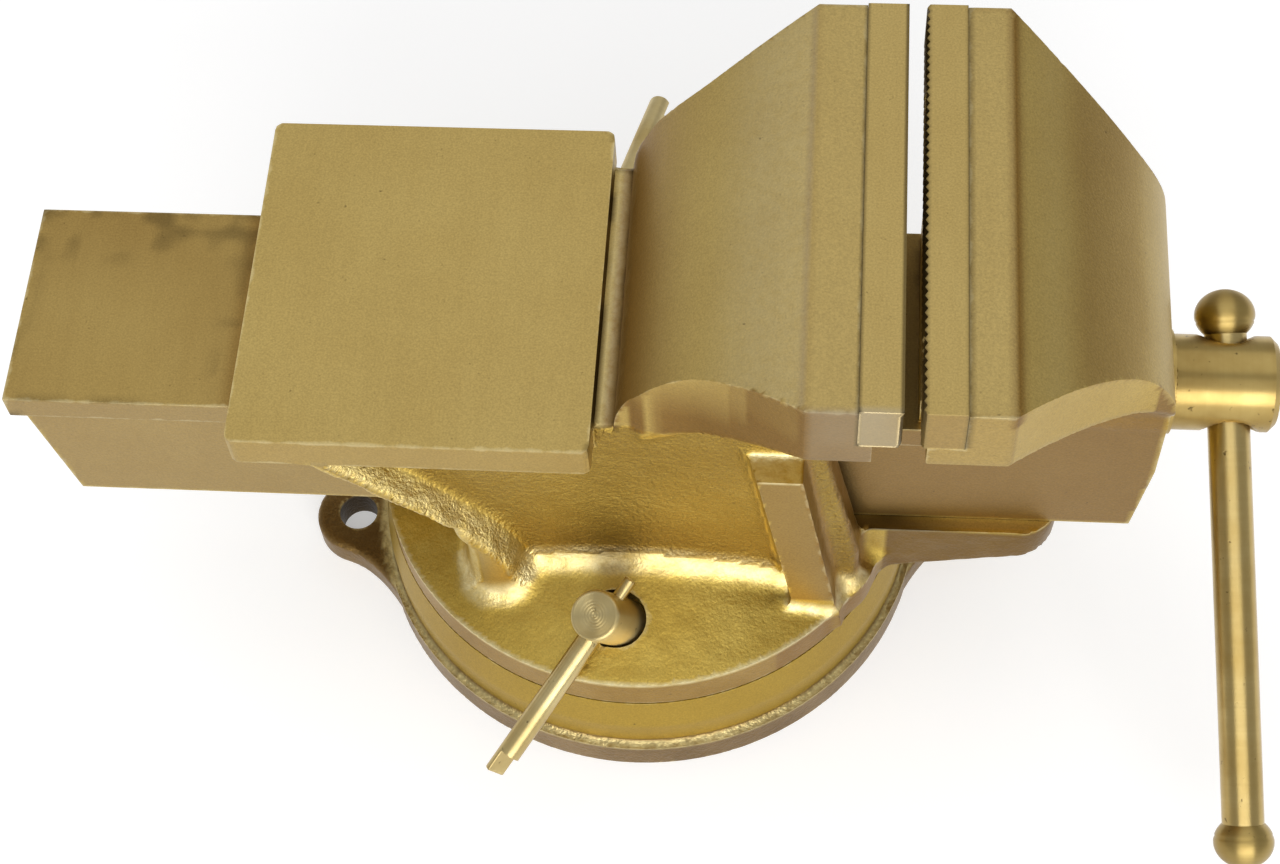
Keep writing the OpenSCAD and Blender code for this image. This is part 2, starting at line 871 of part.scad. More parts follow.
module thrust_washer() {
    color("#b9a06a")
        along_slide(boss_face + slide_gap, 0, spindle_height)
            ring(ring_diameter, journal_diameter + 2 * joint_gap, thrust_thick - slide_gap);
}

module spindle_collar() {
    color("#b08a45")
        difference() {
            along_slide(ring_place, 0, spindle_height)
                ring(ring_diameter, journal_diameter + 2 * joint_gap, ring_length);
            at_ring_pin()
                cylinder(d = pin_diameter + 2 * joint_gap, h = 2 * ring_diameter, center = true);
        }
}

module collar_pin() {
    color("#8f7a4a")
        at_ring_pin()
            cylinder(d = pin_diameter, h = ring_diameter - 2 * chamfer, center = true);
}

module handle_bar() {
    color("#c49c4c")
        at_handle()
            translate([0, 0, -knob_stop])
                cylinder(d = bar_diameter, h = knob_spacing);
}

module handle_knob() {
    difference() {
        sphere(d = knob_diameter);
        translate([0, 0, -joint_gap])
            cylinder(d = bar_diameter + 2 * joint_gap, h = knob_diameter);
    }
}

module handle_knob_upper() {
    color("#c49c4c")
        at_handle()
            translate([0, 0, -knob_stop])
                handle_knob();
}

module handle_knob_lower() {
    color("#c49c4c")
        at_handle()
            translate([0, 0, knob_spacing - knob_stop])
                rotate([180, 0, 0])
                    handle_knob();
}

module lock_screw(side, lift, bar_turn) {
    color("#b98f45")
        at_lock(side)
            translate([0, 0, lift])
                difference() {
                    rotate_extrude()
                        polygon(concat(
                            dome(lock_thread / 2, lock_dome, -lock_tip),
                            [
                                [lock_thread / 2, -lock_sink], [lock_head / 2, -lock_sink],
                                [lock_head / 2, lock_rise - chamfer], [lock_head / 2 - chamfer, lock_rise],
                                [0, lock_rise]
                            ]
                        ));
                    at_lock_bar(side * bar_turn) {
                        cylinder(d = tenon_diameter + 2 * joint_gap, h = 2 * lock_head, center = true);
                        translate([0, 0, tenon_shoulder])
                            cylinder(d = lock_bar + 2 * joint_gap, h = lock_head);
                    }
                }
}

module lock_bar(side, lift, bar_turn) {
    color("#c09648")
        at_lock(side)
            translate([0, 0, lift])
                at_lock_bar(side * bar_turn)
                    difference() {
                        union() {
                            translate([0, 0, -tenon_end])
                                cylinder(d = tenon_diameter, h = tenon_end + tenon_shoulder + past);
                            translate([0, 0, tenon_shoulder + joint_gap])
                                cylinder(d = lock_bar, h = lock_bar_length - tenon_shoulder - joint_gap);
                        }
                        translate([0, -lock_bar, lock_bar_length - bar_flat])
                            cube([lock_bar, 2 * lock_bar, bar_flat + past]);
                    }
}

module lock_screw_front() {
    lock_screw(1, 0, front_bar_turn);
}

module lock_bar_front() {
    lock_bar(1, 0, front_bar_turn);
}

module lock_screw_rear() {
    lock_screw(-1, rear_lock_lift, rear_bar_turn);
}

module lock_bar_rear() {
    lock_bar(-1, rear_lock_lift, rear_bar_turn);
}

swivel_base();
vise_body();
fixed_jaw_plate();
fixed_jaw_screws();
spindle_nut();
nut_screw();
nut_washer();
pivot_bolt();
pivot_washer();
moving_jaw();
moving_jaw_plate();
moving_jaw_screws();
spindle();
thrust_washer();
spindle_collar();
collar_pin();
handle_bar();
handle_knob_upper();
handle_knob_lower();
lock_screw_front();
lock_bar_front();
lock_screw_rear();
lock_bar_rear();
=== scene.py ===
import math
from functools import reduce
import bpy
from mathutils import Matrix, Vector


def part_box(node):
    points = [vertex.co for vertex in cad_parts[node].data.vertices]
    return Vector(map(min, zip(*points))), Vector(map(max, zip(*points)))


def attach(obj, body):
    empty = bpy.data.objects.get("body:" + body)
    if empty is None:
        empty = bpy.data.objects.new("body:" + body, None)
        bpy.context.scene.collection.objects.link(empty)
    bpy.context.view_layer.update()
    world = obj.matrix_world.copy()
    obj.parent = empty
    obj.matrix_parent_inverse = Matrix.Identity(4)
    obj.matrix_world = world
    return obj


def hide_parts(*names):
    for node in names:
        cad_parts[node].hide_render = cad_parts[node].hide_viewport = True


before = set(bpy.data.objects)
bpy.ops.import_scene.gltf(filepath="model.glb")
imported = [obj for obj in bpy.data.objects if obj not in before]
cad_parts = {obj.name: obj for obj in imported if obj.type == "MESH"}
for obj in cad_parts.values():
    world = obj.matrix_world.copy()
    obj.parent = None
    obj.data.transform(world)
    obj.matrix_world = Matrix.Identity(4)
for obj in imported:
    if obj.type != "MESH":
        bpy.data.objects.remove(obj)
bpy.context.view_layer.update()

from types import SimpleNamespace as Sizes

import bpy
import numpy as np
from mathutils import Matrix, Vector

mm = 0.001   # the pieces' sizes are in millimetres, the studio's in metres
scene = bpy.context.scene


# Solid shapes as fields: a distance in millimetres, negative inside the metal

def most(*fields):   # the largest value at each point: what all the shapes share
    return reduce(np.maximum, fields)


def least(*fields):   # the smallest value at each point: all the shapes together
    return reduce(np.minimum, fields)


def join(a, b, fillet=0.0):   # both shapes, with a round fillet where they meet
    inner = np.sqrt(np.maximum(fillet - a, 0) ** 2 + np.maximum(fillet - b, 0) ** 2)
    return np.maximum(np.minimum(a, b), fillet) - inner


def meet(a, b, edge=0.0):   # what both shapes share, with its edge rounded
    return -join(-a, -b, edge)


def cut(a, b, edge=0.0):   # the first shape without the second
    return meet(a, -b, edge)


def slab(v, low, high):   # between two parallel faces
    return np.maximum(low - v, v - high)


def outline(points, u, v):   # a closed outline in a plane: distance to its nearest edge
    corners = np.asarray(points, float)
    nearest = np.full(np.broadcast(u, v).shape, 1e12)
    inside = np.zeros(nearest.shape, bool)
    for (au, av), (bu, bv) in zip(corners, np.roll(corners, -1, axis=0)):
        du, dv = bu - au, bv - av
        along = np.clip(((u - au) * du + (v - av) * dv) / (du * du + dv * dv), 0, 1)
        nearest = np.minimum(nearest, (u - au - along * du) ** 2 + (v - av - along * dv) ** 2)
        if av != bv:
            inside ^= ((av > v) != (bv > v)) & (u < au + (v - av) * du / dv)
    return np.where(inside, -1, 1) * np.sqrt(nearest)


def fromAxis(dx, dy, dz, axis):   # place along an axis through the origin, and distance from it
    along = dx * axis[0] + dy * axis[1] + dz * axis[2]
    return along, np.sqrt(np.maximum(dx ** 2 + dy ** 2 + dz ** 2 - along ** 2, 0))


def smoothStep(low, high, v):
    t = np.clip((v - low) / (high - low), 0, 1)
    return t * t * (3 - 2 * t)


def bell(v, width):   # 1 at zero, falling away smoothly on both sides
    return np.exp(-(v / width) ** 2)


def zigzag(v):   # straight flanks between 0 and 1, one tooth for each unit
    return np.abs(2 * (v - np.floor(v)) - 1)


noiseLattice = np.random.default_rng(7).uniform(-1, 1, (32, 32, 32))


def lumps(p, size):   # smooth random relief from -1 to 1, with lumps of that size
    q = p / size
    base = np.floor(q).astype(int)
    f = q - base
    f = f * f * (3 - 2 * f)
    total = 0
    for corner in np.ndindex(2, 2, 2):
        cell = (base + corner) % len(noiseLattice)
        weight = np.prod(np.where(np.array(corner) == 1, f, 1 - f), axis=1)
        total = total + weight * noiseLattice[cell[:, 0], cell[:, 1], cell[:, 2]]
    return total


def slopeOf(field, p, reach=0.03):   # the field's unit gradient, which is the surface's normal
    here = field(*p.T)
    slope = np.stack([field(*(p + reach * axis).T) - here for axis in np.eye(3)], axis=1)
    return slope / np.maximum(np.linalg.norm(slope, axis=1, keepdims=True), 1e-9)


def contour(field, low, high, step, steady=0.04):
    # Surface of a field: one point in each grid cell that the surface crosses, set where the tangent
    # planes at the cell's edge crossings meet, so that crisp edges stay crisp; steady holds it on flats
    axes = [np.arange(a, b + step, step) for a, b in zip(low, high)]
    x, y, z = np.meshgrid(*axes, indexing="ij", sparse=True)
    values = np.broadcast_to(field(x, y, z), [len(a) for a in axes])
    solid = values < 0
    shape = np.array(values.shape)
    points, normals, cells, quads = [], [], [], []
    for axis in range(3):
        near = [slice(None)] * 3
        far = [slice(None)] * 3
        near[axis], far[axis] = slice(0, -1), slice(1, None)
        edges = np.argwhere(solid[tuple(near)] != solid[tuple(far)])
        other = [a for a in range(3) if a != axis]
        edges = edges[(edges[:, other] > 0).all(1) & (edges[:, other] < shape[other] - 1).all(1)]
        ends = edges.copy()
        ends[:, axis] += 1
        start = np.stack([axes[a][edges[:, a]] for a in range(3)], axis=1)
        va, vb = values[tuple(edges.T)], values[tuple(ends.T)]
        lowT, highT = np.zeros(len(edges)), np.ones(len(edges))
        startSolid = va < 0
        t = va / (va - vb)
        for _ in range(4):   # closes in on the crossing
            p = start.copy()
            p[:, axis] += t * step
            v = field(*p.T)
            same = (v < 0) == startSolid
            lowT, va = np.where(same, t, lowT), np.where(same, v, va)
            highT, vb = np.where(same, highT, t), np.where(same, vb, v)
            t = lowT + (highT - lowT) * np.clip(va / np.where(va == vb, 1, va - vb), 0.05, 0.95)
        p = start.copy()
        p[:, axis] += t * step
        n = slopeOf(field, p)
        b, c = other
        around = []
        for db, dc in ((-1, -1), (0, -1), (0, 0), (-1, 0)):
            cell = edges.copy()
            cell[:, b] += db
            cell[:, c] += dc
            around.append(np.ravel_multi_index(tuple(cell.T), shape))
            points.append(p)
            normals.append(n)
            cells.append(around[-1])
        quad = np.stack(around, axis=1)
        turned = solid[tuple(edges.T)] != (axis == 1)
        quads.append(np.where(turned[:, None], quad, quad[:, ::-1]))
    points, normals, cells = np.concatenate(points), np.concatenate(normals), np.concatenate(cells)
    used, cells = np.unique(cells, return_inverse=True)
    count = np.bincount(cells)
    middle = np.stack([np.bincount(cells, points[:, a]) / count for a in range(3)], axis=1)
    pull = ((points - middle[cells]) * normals).sum(1)
    right = np.stack([np.bincount(cells, normals[:, a] * pull) for a in range(3)], axis=1)
    left = np.stack([
        np.stack([np.bincount(cells, normals[:, a] * normals[:, b]) for b in range(3)], axis=1)
        for a in range(3)], axis=1)
    left = left + steady * count[:, None, None] * np.eye(3)
    moved = np.linalg.solve(left, right[:, :, None])[:, :, 0]
    corner = np.stack(np.unravel_index(used, shape), axis=1)
    cellLow = np.stack([axes[a][corner[:, a]] for a in range(3)], axis=1)
    spots = np.clip(middle + moved, cellLow, cellLow + step)
    faces = np.searchsorted(used, np.concatenate(quads))
    return spots, faces


# Meshes

markNames = ("machined", "edge", "hollow", "pale", "grimeAndShade", "deep", "grain", "bright", "sand")
castSkin = dict(fine=4.3, broad=9.0, wave=38.0, hammering=3, easedEdge=0.6)


def newMesh(name, spots, faces):
    mesh = bpy.data.meshes.new(name)
    mesh.from_pydata((spots * mm).tolist(), [], faces if isinstance(faces, list) else faces.tolist())
    mesh.validate()
    mesh.shade_smooth()
    return mesh


def addPiece(name, mesh, body, node, material, edgeWidth=0):
    mesh.materials.append(material)
    piece = bpy.data.objects.new(name, mesh)
    scene.collection.objects.link(piece)
    if edgeWidth:
        ease = piece.modifiers.new("easedEdges", "BEVEL")
        ease.limit_method = "ANGLE"
        ease.angle_limit = math.radians(40)
        ease.width = edgeWidth * mm
        ease.segments = 2
        ease.harden_normals = True
    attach(piece, body)
    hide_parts(node)
    print(name, len(mesh.vertices), "points,", len(mesh.polygons), "faces")


def insideBox(spots, node):   # holds a piece inside the box of the node that it stands for
    low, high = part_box(node)
    return np.clip(spots, np.array(low) / mm + 0.01, np.array(high) / mm - 0.01)


def addMarked(name, spots, faces, marks, body, node, material, edgeWidth):
    # A piece with a value for each surface mark that its finish reads, 0 where none is given
    mesh = newMesh(name, insideBox(spots, node), faces)
    for markName in markNames:
        value = np.broadcast_to(marks.get(markName, 0), len(spots))
        layer = mesh.attributes.new(markName, "FLOAT", "POINT")
        layer.data.foreach_set("value", value.astype(np.float32))
    addPiece(name, mesh, body, node, material, edgeWidth)


def wearMarks(field, p, n, reach=3.0):
    # How far each point is an outer edge or lies in a hollow, from the field a little in and out
    edge = np.clip(1 + field(*(p - reach * n).T) / reach, 0, 1)
    hollow = np.clip(1 - field(*(p + 2 * reach * n).T) / (2 * reach), 0, 1)
    return edge, hollow


def castPiece(name, field, sizes, body, node, material, machinedShare, extraMarks):
    # A casting: its field's surface, roughened where it was left as cast
    s = Sizes(**castSkin, **sizes)
    spots, faces = contour(field, s.low, s.high, s.step)
    normal = slopeOf(field, spots)
    edge, hollow = wearMarks(field, spots, normal)
    machined = machinedShare(*spots.T, normal)
    marks = dict(machined=machined, edge=edge, hollow=hollow, **extraMarks(*spots.T, normal))
    relief = s.roughness * (lumps(spots, s.fine) + 0.7 * lumps(spots + 50, s.broad))
    relief = relief * (1 + s.hammering * marks.get("hammered", 0)) + s.waviness * lumps(spots + 90, s.wave)
    relief = relief * (1 - marks.get("calm", 0)) * smoothStep(0.6, 0.1, machined)
    spots = spots + normal * relief[:, None]
    addMarked(name, spots, faces, marks, body, node, material, s.easedEdge)


# Finishes: shared effects are node groups

def addNode(tree, kind, inputs=None, **settings):
    node = tree.nodes.new(kind)
    for key, value in settings.items():
        setattr(node, key, value)
    for key, value in (inputs or {}).items():
        if isinstance(value, bpy.types.NodeSocket):
            tree.links.new(value, node.inputs[key])
        else:
            node.inputs[key].default_value = value
    return node


def mathNode(tree, operation, a, b, clamp=False):
    return addNode(tree, "ShaderNodeMath", {0: a, 1: b}, operation=operation, use_clamp=clamp).outputs[0]


def times(tree, a, b, clamp=False):
    return mathNode(tree, "MULTIPLY", a, b, clamp)


def plus(tree, a, b, clamp=False):
    return mathNode(tree, "ADD", a, b, clamp)


def minus(tree, a, b):
    return mathNode(tree, "SUBTRACT", a, b)


def ramp(tree, value, low, high, outLow=0.0, outHigh=1.0):   # remaps a value between two limits
    inputs = {"Value": value, 1: low, 2: high, 3: outLow, 4: outHigh}
    return addNode(tree, "ShaderNodeMapRange", inputs, clamp=True).outputs[0]


def mixColors(tree, share, a, b, blend="MIX"):
    inputs = {0: share, 6: a, 7: b}
    return addNode(tree, "ShaderNodeMix", inputs, data_type="RGBA", blend_type=blend).outputs[2]


def tint(tree, color, toward, mask, amount):   # moves a colour towards another where a mask is
    return mixColors(tree, times(tree, mask, amount), color, toward)


def mixValues(tree, share, a, b):
    return addNode(tree, "ShaderNodeMix", {0: share, 2: a, 3: b}, data_type="FLOAT").outputs[0]


def noise(tree, vector, scale, detail=2.0, roughness=0.5):
    inputs = {"Vector": vector, "Scale": scale, "Detail": detail, "Roughness": roughness}
    return addNode(tree, "ShaderNodeTexNoise", inputs).outputs[0]


def newGroup(name, **inputs):   # a group that reads a place and some values
    group = bpy.data.node_groups.new(name, "ShaderNodeTree")
    group.interface.new_socket("Vector", in_out="INPUT", socket_type="NodeSocketVector")
    for label, value in inputs.items():
        socket = group.interface.new_socket(label, in_out="INPUT", socket_type="NodeSocketFloat")
        socket.default_value = value
    return group, group.nodes.new("NodeGroupInput").outputs


def closeGroup(group, **results):   # gives the group its outputs
    for label in results:
        group.interface.new_socket(label, in_out="OUTPUT", socket_type="NodeSocketFloat")
    made = group.nodes.new("NodeGroupOutput").inputs
    for label, value in results.items():
        group.links.new(value, made[label])
    return group


def useGroup(tree, group, inputs):
    return addNode(tree, "ShaderNodeGroup", inputs, node_tree=group).outputs


def sandSkinGroup():   # grainy skin left by a sand mould: fine grain, coarse grain and single pits
    group, given = newGroup("sandSkin", Grain=520.0)
    place, grain = given["Vector"], given["Grain"]
    fine = noise(group, place, grain, 3, 0.6)
    lumpy = noise(group, place, times(group, grain, 0.5), 2, 0.5)
    cells = addNode(group, "ShaderNodeTexVoronoi", {"Vector": place, "Scale": times(group, grain, 0.42)})
    rare = ramp(group, noise(group, place, 90, 1), 0.6, 0.72)
    pits = times(group, ramp(group, cells.outputs["Distance"], 0.05, 0.2, 1, 0), rare)
    height = plus(group, times(group, lumpy, 1.3), times(group, fine, 0.6))
    return closeGroup(group, Height=minus(group, height, times(group, pits, 0.8)), Pits=pits)


def cutterMarksGroup():   # fine lines of a cutter or belt: noise drawn out along one direction
    group, given = newGroup("cutterMarks", Fineness=1.0)
    place, fineness = given["Vector"], given["Fineness"]
    fine = noise(group, place, times(group, fineness, 900), 3, 0.6)
    broad = noise(group, place, times(group, fineness, 210), 2, 0.5)
    streak = plus(group, times(group, fine, 0.5), times(group, broad, 0.5))
    return closeGroup(group, Height=streak, Streak=ramp(group, streak, 0.38, 0.62))


def tarnishGroup():   # cloudy darkening in large soft patches, and small dark spots
    group, given = newGroup("tarnish", Cloud=26.0, Spots=0.6)
    place = given["Vector"]
    clouds = ramp(group, noise(group, place, given["Cloud"], 4, 0.6), 0.35, 0.7)
    reach = minus(group, 1.35, given["Spots"])
    specks = ramp(group, noise(group, place, 330, 2, 0.6), reach, plus(group, reach, 0.07))
    return closeGroup(group, Clouds=clouds, Specks=specks)


def brokenMarkGroup(name, scale, detail, spread, soft):
    # A surface mark with its border broken up by noise, kept where it passes one less the amount
    group, given = newGroup(name, Mark=0.0, Amount=0.5)
    broken = ramp(group, noise(group, given["Vector"], scale, detail, 0.6), 0.3, 0.7, -spread, spread)
    start = minus(group, 1.0, given["Amount"])
    share = ramp(group, plus(group, given["Mark"], broken), start, plus(group, start, soft))
    return closeGroup(group, Share=share)


sandSkin = sandSkinGroup()
cutterMarks = cutterMarksGroup()
tarnish = tarnishGroup()
edgeWearAndSheen = brokenMarkGroup("edgeWearAndSheen", 160, 3, 0.25, 0.3)   # bare rubbed metal along outer edges, partly a painted highlight along them
hollowDirtAndShade = brokenMarkGroup("hollowDirtAndShade", 70, 4, 0.22, 0.45)   # dark greasy dirt and a painted shade caught in hollows


def rgb(red, green, blue):   # a colour as it is seen on screen, 0 to 255
    def linear(c):
        c = c / 255
        return c / 12.92 if c < 0.04045 else ((c + 0.055) / 1.055) ** 2.4
    return (linear(red), linear(green), linear(blue), 1.0)


def startMaterial(name):
    material = bpy.data.materials.new(name)
    material.use_nodes = True
    tree = material.node_tree
    tree.nodes.clear()
    lacquer = {"Metallic": 1.0, "Coat Weight": 0.12, "Coat Roughness": 0.3}
    shader = addNode(tree, "ShaderNodeBsdfPrincipled", lacquer)
    output = addNode(tree, "ShaderNodeOutputMaterial")
    tree.links.new(shader.outputs[0], output.inputs[0])
    place = addNode(tree, "ShaderNodeTexCoord").outputs["Object"]
    return material, tree, shader, place


def markOf(tree, name):   # one of the piece's own surface marks
    return addNode(tree, "ShaderNodeAttribute", attribute_name=name).outputs["Fac"]


def addBump(tree, shader, height, depth, strength):
    bump = addNode(tree, "ShaderNodeBump", {"Height": height, "Distance": depth, "Strength": strength})
    tree.links.new(bump.outputs[0], shader.inputs["Normal"])


# The pale rubbed colour also paints highlights, and the dark colour and the brown also paint shade
castFinish = dict(
    cast=rgb(202, 174, 86), castDeep=rgb(182, 152, 66), machined=rgb(183, 159, 95),
    machinedDeep=rgb(174, 148, 84), worn=rgb(232, 222, 178), dirt=rgb(52, 38, 16), pale=rgb(176, 166, 142),
    brown=(0.5, 0.38, 0.24, 1), castRough=0.42, machinedRough=0.48, grain=1000.0,
    streak=(1, 0.08, 1), wear=0.3)


def castMaterial(name, **changes):
    # As-cast skin and machined faces in one finish, told apart by the piece's own marks
    s = Sizes(**{**castFinish, **changes})
    material, tree, shader, place = startMaterial(name)
    mark = {markName: markOf(tree, markName) for markName in markNames}
    drawnOut = addNode(tree, "ShaderNodeMapping", {"Vector": place, "Scale": s.streak}).outputs[0]
    skin = useGroup(tree, sandSkin, {"Vector": place, "Grain": s.grain})
    streak = useGroup(tree, cutterMarks, {"Vector": drawnOut, "Fineness": 1.0})["Streak"]
    tarnished = useGroup(tree, tarnish, {"Vector": place, "Cloud": 24.0, "Spots": 0.62})
    clouds = tarnished["Clouds"]
    worn = useGroup(tree, edgeWearAndSheen, {"Vector": place, "Mark": mark["edge"], "Amount": s.wear})["Share"]
    dirt = useGroup(tree, hollowDirtAndShade, {"Vector": place, "Mark": mark["hollow"], "Amount": 0.25})["Share"]
    flatColor = tint(tree, s.machined, s.machinedDeep, streak, 0.07)
    flatColor = tint(tree, flatColor, s.machinedDeep, clouds, 0.5)
    color = mixColors(tree, mark["machined"], mixColors(tree, clouds, s.cast, s.castDeep), flatColor)
    # The deep mark darkens towards brown: browner bronze in places, painted shade in most
    color = mixColors(tree, mark["deep"], color, mixColors(tree, 1.0, color, s.brown, "MULTIPLY"))
    shade = ramp(tree, noise(tree, place, 1500, 2, 0.6), 0.3, 0.7, 0.87, 1.13)
    color = addNode(tree, "ShaderNodeHueSaturation", {"Color": color, "Value": shade}).outputs[0]
    patches = ramp(tree, noise(tree, place, 300, 3, 0.65), 0.3, 0.6, 0.45, 1.0)
    # Pale metal mixed in: rubbed edges, partly a painted highlight along them, and painted highlights where
    # the bright mark is
    rubbedAndHighlight = mathNode(tree, "MAXIMUM", times(tree, worn, 0.25), times(tree, mark["bright"], patches))
    color = mixColors(tree, rubbedAndHighlight, color, s.worn)
    # Darkened towards the dark colour: dirt and painted shade in hollows, dark specks and pits
    for mask, amount in ((dirt, 0.7), (tarnished["Specks"], 0.5), (skin["Pits"], 0.35)):
        color = tint(tree, color, s.dirt, mask, amount)
    # Paler where the pale mark is, partly a painted sheen; darkened by the mark that holds dirt and painted
    # shade
    color = mixColors(tree, mark["pale"], color, s.pale)
    color = mixColors(tree, mark["grimeAndShade"], color, s.dirt)
    tree.links.new(color, shader.inputs["Base Color"])
    flatRough = ramp(tree, streak, 0, 1, s.machinedRough - 0.015, s.machinedRough + 0.025)
    castRough = ramp(tree, clouds, 0, 1, s.castRough - 0.06, s.castRough + 0.08)
    roughness = mixValues(tree, mark["machined"], castRough, flatRough)
    roughness = mixValues(tree, times(tree, mark["grain"], 0.6, clamp=True), roughness, 0.6)
    roughness = mixValues(tree, times(tree, worn, 0.5), roughness, 0.3)
    roughness = mixValues(tree, dirt, roughness, 0.65)
    tree.links.new(roughness, shader.inputs["Roughness"])
    sandy = ramp(tree, mark["sand"], 0, 1, 0.06, 0.3)
    flatHeight = times(tree, noise(tree, place, 1000, 2, 0.6), sandy)
    castHeight = times(tree, skin["Height"], plus(tree, 0.3, mark["grain"]))
    addBump(tree, shader, mixValues(tree, mark["machined"], castHeight, flatHeight), 0.0006, 0.7)
    return material


turnedFinish = dict(
    main=rgb(184, 160, 98), deep=rgb(166, 138, 76), dirt=rgb(66, 50, 24), roughness=0.42, groove=0.00012,
    anisotropy=0.82)


def turnedMaterial(name, onLathe=True, **changes):
    # Turned bar: fine grooves run round it, so its shine spreads along the axis; tarnish and dark pits
    s = Sizes(**{**turnedFinish, **changes})
    material, tree, shader, place = startMaterial(name)
    turning = place
    if onLathe:
        turning = addNode(tree, "ShaderNodeAttribute", attribute_name="turning").outputs["Vector"]
        shader.inputs["Anisotropic"].default_value = s.anisotropy
        tangent = addNode(tree, "ShaderNodeTangent", direction_type="UV_MAP", uv_map="lathe")
        tree.links.new(tangent.outputs[0], shader.inputs["Tangent"])
    lines = useGroup(tree, cutterMarks, {"Vector": turning, "Fineness": 1.4})
    tarnished = useGroup(tree, tarnish, {"Vector": place, "Cloud": 38.0, "Spots": 0.66})
    clouds, specks = tarnished["Clouds"], tarnished["Specks"]
    color = tint(tree, mixColors(tree, clouds, s.main, s.deep), s.deep, lines["Streak"], 0.2)
    color = tint(tree, color, s.dirt, specks, 0.7)
    tree.links.new(color, shader.inputs["Base Color"])
    rough = ramp(tree, clouds, 0, 1, s.roughness - 0.05, s.roughness + 0.07)
    tree.links.new(rough, shader.inputs["Roughness"])
    addBump(tree, shader, minus(tree, lines["Height"], times(tree, specks, 0.4)), s.groove, 0.8)
    return material


castBronze = castMaterial("castBronze")
baseBronze = castMaterial(
    "baseBronze", cast=rgb(158, 132, 80), castDeep=rgb(126, 102, 60), machined=rgb(174, 145, 56),
    machinedDeep=rgb(160, 130, 48), worn=rgb(234, 218, 156))
plateBronze = castMaterial("plateBronze", machined=rgb(184, 160, 97), wear=0.06)
spindleBronze = turnedMaterial("turnedBronze")
# Lit and shaded copies of the turned bronze: a paler copy for the lock paints light on it, darker copies for
# the handle and the knobs paint shade on them
litLockBronze = turnedMaterial("litBarBronze", main=rgb(208, 190, 138), deep=rgb(188, 164, 104), roughness=0.39)
shadedHandleBronze = turnedMaterial("shadedHandleBronze", main=rgb(190, 168, 112), deep=rgb(170, 144, 84), roughness=0.33)
shadedKnobBronze = turnedMaterial("shadedKnobBronze", main=rgb(170, 147, 88), deep=rgb(154, 128, 70), roughness=0.44)
fittingBronze = turnedMaterial("fittingBronze", onLathe=False)
print("finishes made")


# Vise body: foot, walls, gussets, collar, tongue, anvil and fixed jaw

bodySizes = dict(
    low=(-128, -97, 36), high=(148, 97, 215), step=1.7, roughness=0.16, waviness=0.35,
    footRadius=93.3, footBottom=39.7, rimTop=54.1, footRise=7.5, footSwell=7, swellReach=38, sunk=4,
    halfWidth=50.5, wallRound=3.0, wallFillet=9.5,
    anvilRear=-124.2, anvilFront=-9.2, anvilHalf=61.85, anvilBottom=145.2, anvilTop=158.8, shelfTop=155.3,
    anvilRound=3.0, anvilFillet=2.5,
    gussetFoot=34, gussetReach=93, gussetThick=8, gussetFall=19, gussetRound=6.5, gussetFillet=8.5,
    bendSlope=(0.82, 0.57), bendCut=4.5, bendRound=6.0,
    collarPlace=45, collarThick=12.5, collarLean=13, collarLip=6.5, ribOver=2, ribWiden=2, ribFlare=0.3,
    ribFillet=4.5, tongueStart=86, tongueReach=144, tongueHalf=40, tongueThick=13, tongueFillet=5.0,
    floorTop=74.1, roof=138.8, webHalf=35.05, shoulderHalf=38.05, shoulderBottom=127.9, mouthGap=3,
    castingTop=211, plateBottom=192, seat=73, ledge=77.5, band=57.5, back=-2.2, jawHalf=75, neckHalf=50.5,
    throat=172, wingUnder=181, flareEnd=7.8, fall=0.3, flare=1.39, wingRound=2.6, wingFillet=6.0,
    pivotHole=10.03, pivotTop=63.7, nutPlace=37, nutHole=6.03, nutSink=12, nutSinkTop=54.7)
lockSizes = dict(
    place=71, direction=266.2, seat=58.008, lean=26.3, azimuth=231.4, thread=14, threadGap=0.08, pitch=2.0,
    threadDepth=1.1, counterbore=20, sink=8, boreShift=(0.85, 0.5), head=17.5, tip=-40, shank=-34, collar=-5,
    rise=22.5, rim=1.3, barDepth=9.5, bar=8, barStart=5.03, barLength=65, barStep=0.7, notch=8, tenon=4.4,
    tail=15.75, frontTurn=1, rearTurn=46, rearLift=20)


def crownOutline(ledge, band, foot, top, footTop, fall, underBand, underFoot):
    # Side view of a jaw: flat band, crowned back that falls as a line plus a quarter ellipse, underside
    u = np.sin(np.linspace(0, np.pi / 2, 30))
    drop = fall * u + (1 - fall) * (1 - np.sqrt(1 - u * u))
    crown = np.column_stack([band + (foot - band) * u, top - (top - footTop) * drop])
    return np.vstack([[ledge, underBand], [ledge, top], crown, [foot, underFoot], [band, underBand]])


def underside(ledge, band, foot, underBand, underFoot, above=400):
    # Side view of what lies above a wing's underside: level below the band, then falling to the foot
    slope = (underFoot - underBand) / (foot - band)
    beyond = foot + (foot - band)
    return [(2 * ledge - band, underBand), (band, underBand), (beyond, underBand + slope * (beyond - band)),
            (beyond, above), (2 * ledge - band, above)]


def flareOutline(ledge, band, foot, half, neck, flare):
    # Plan of a jaw: full width at the band, falling to the neck as a power curve
    u = np.linspace(0, 1, 24)
    edge = np.column_stack([
        np.append(ledge, band + (foot - band) * u),
        np.append(half, neck + (half - neck) * (1 - u) ** flare)])
    return np.vstack([edge, edge[::-1] * (1, -1)])


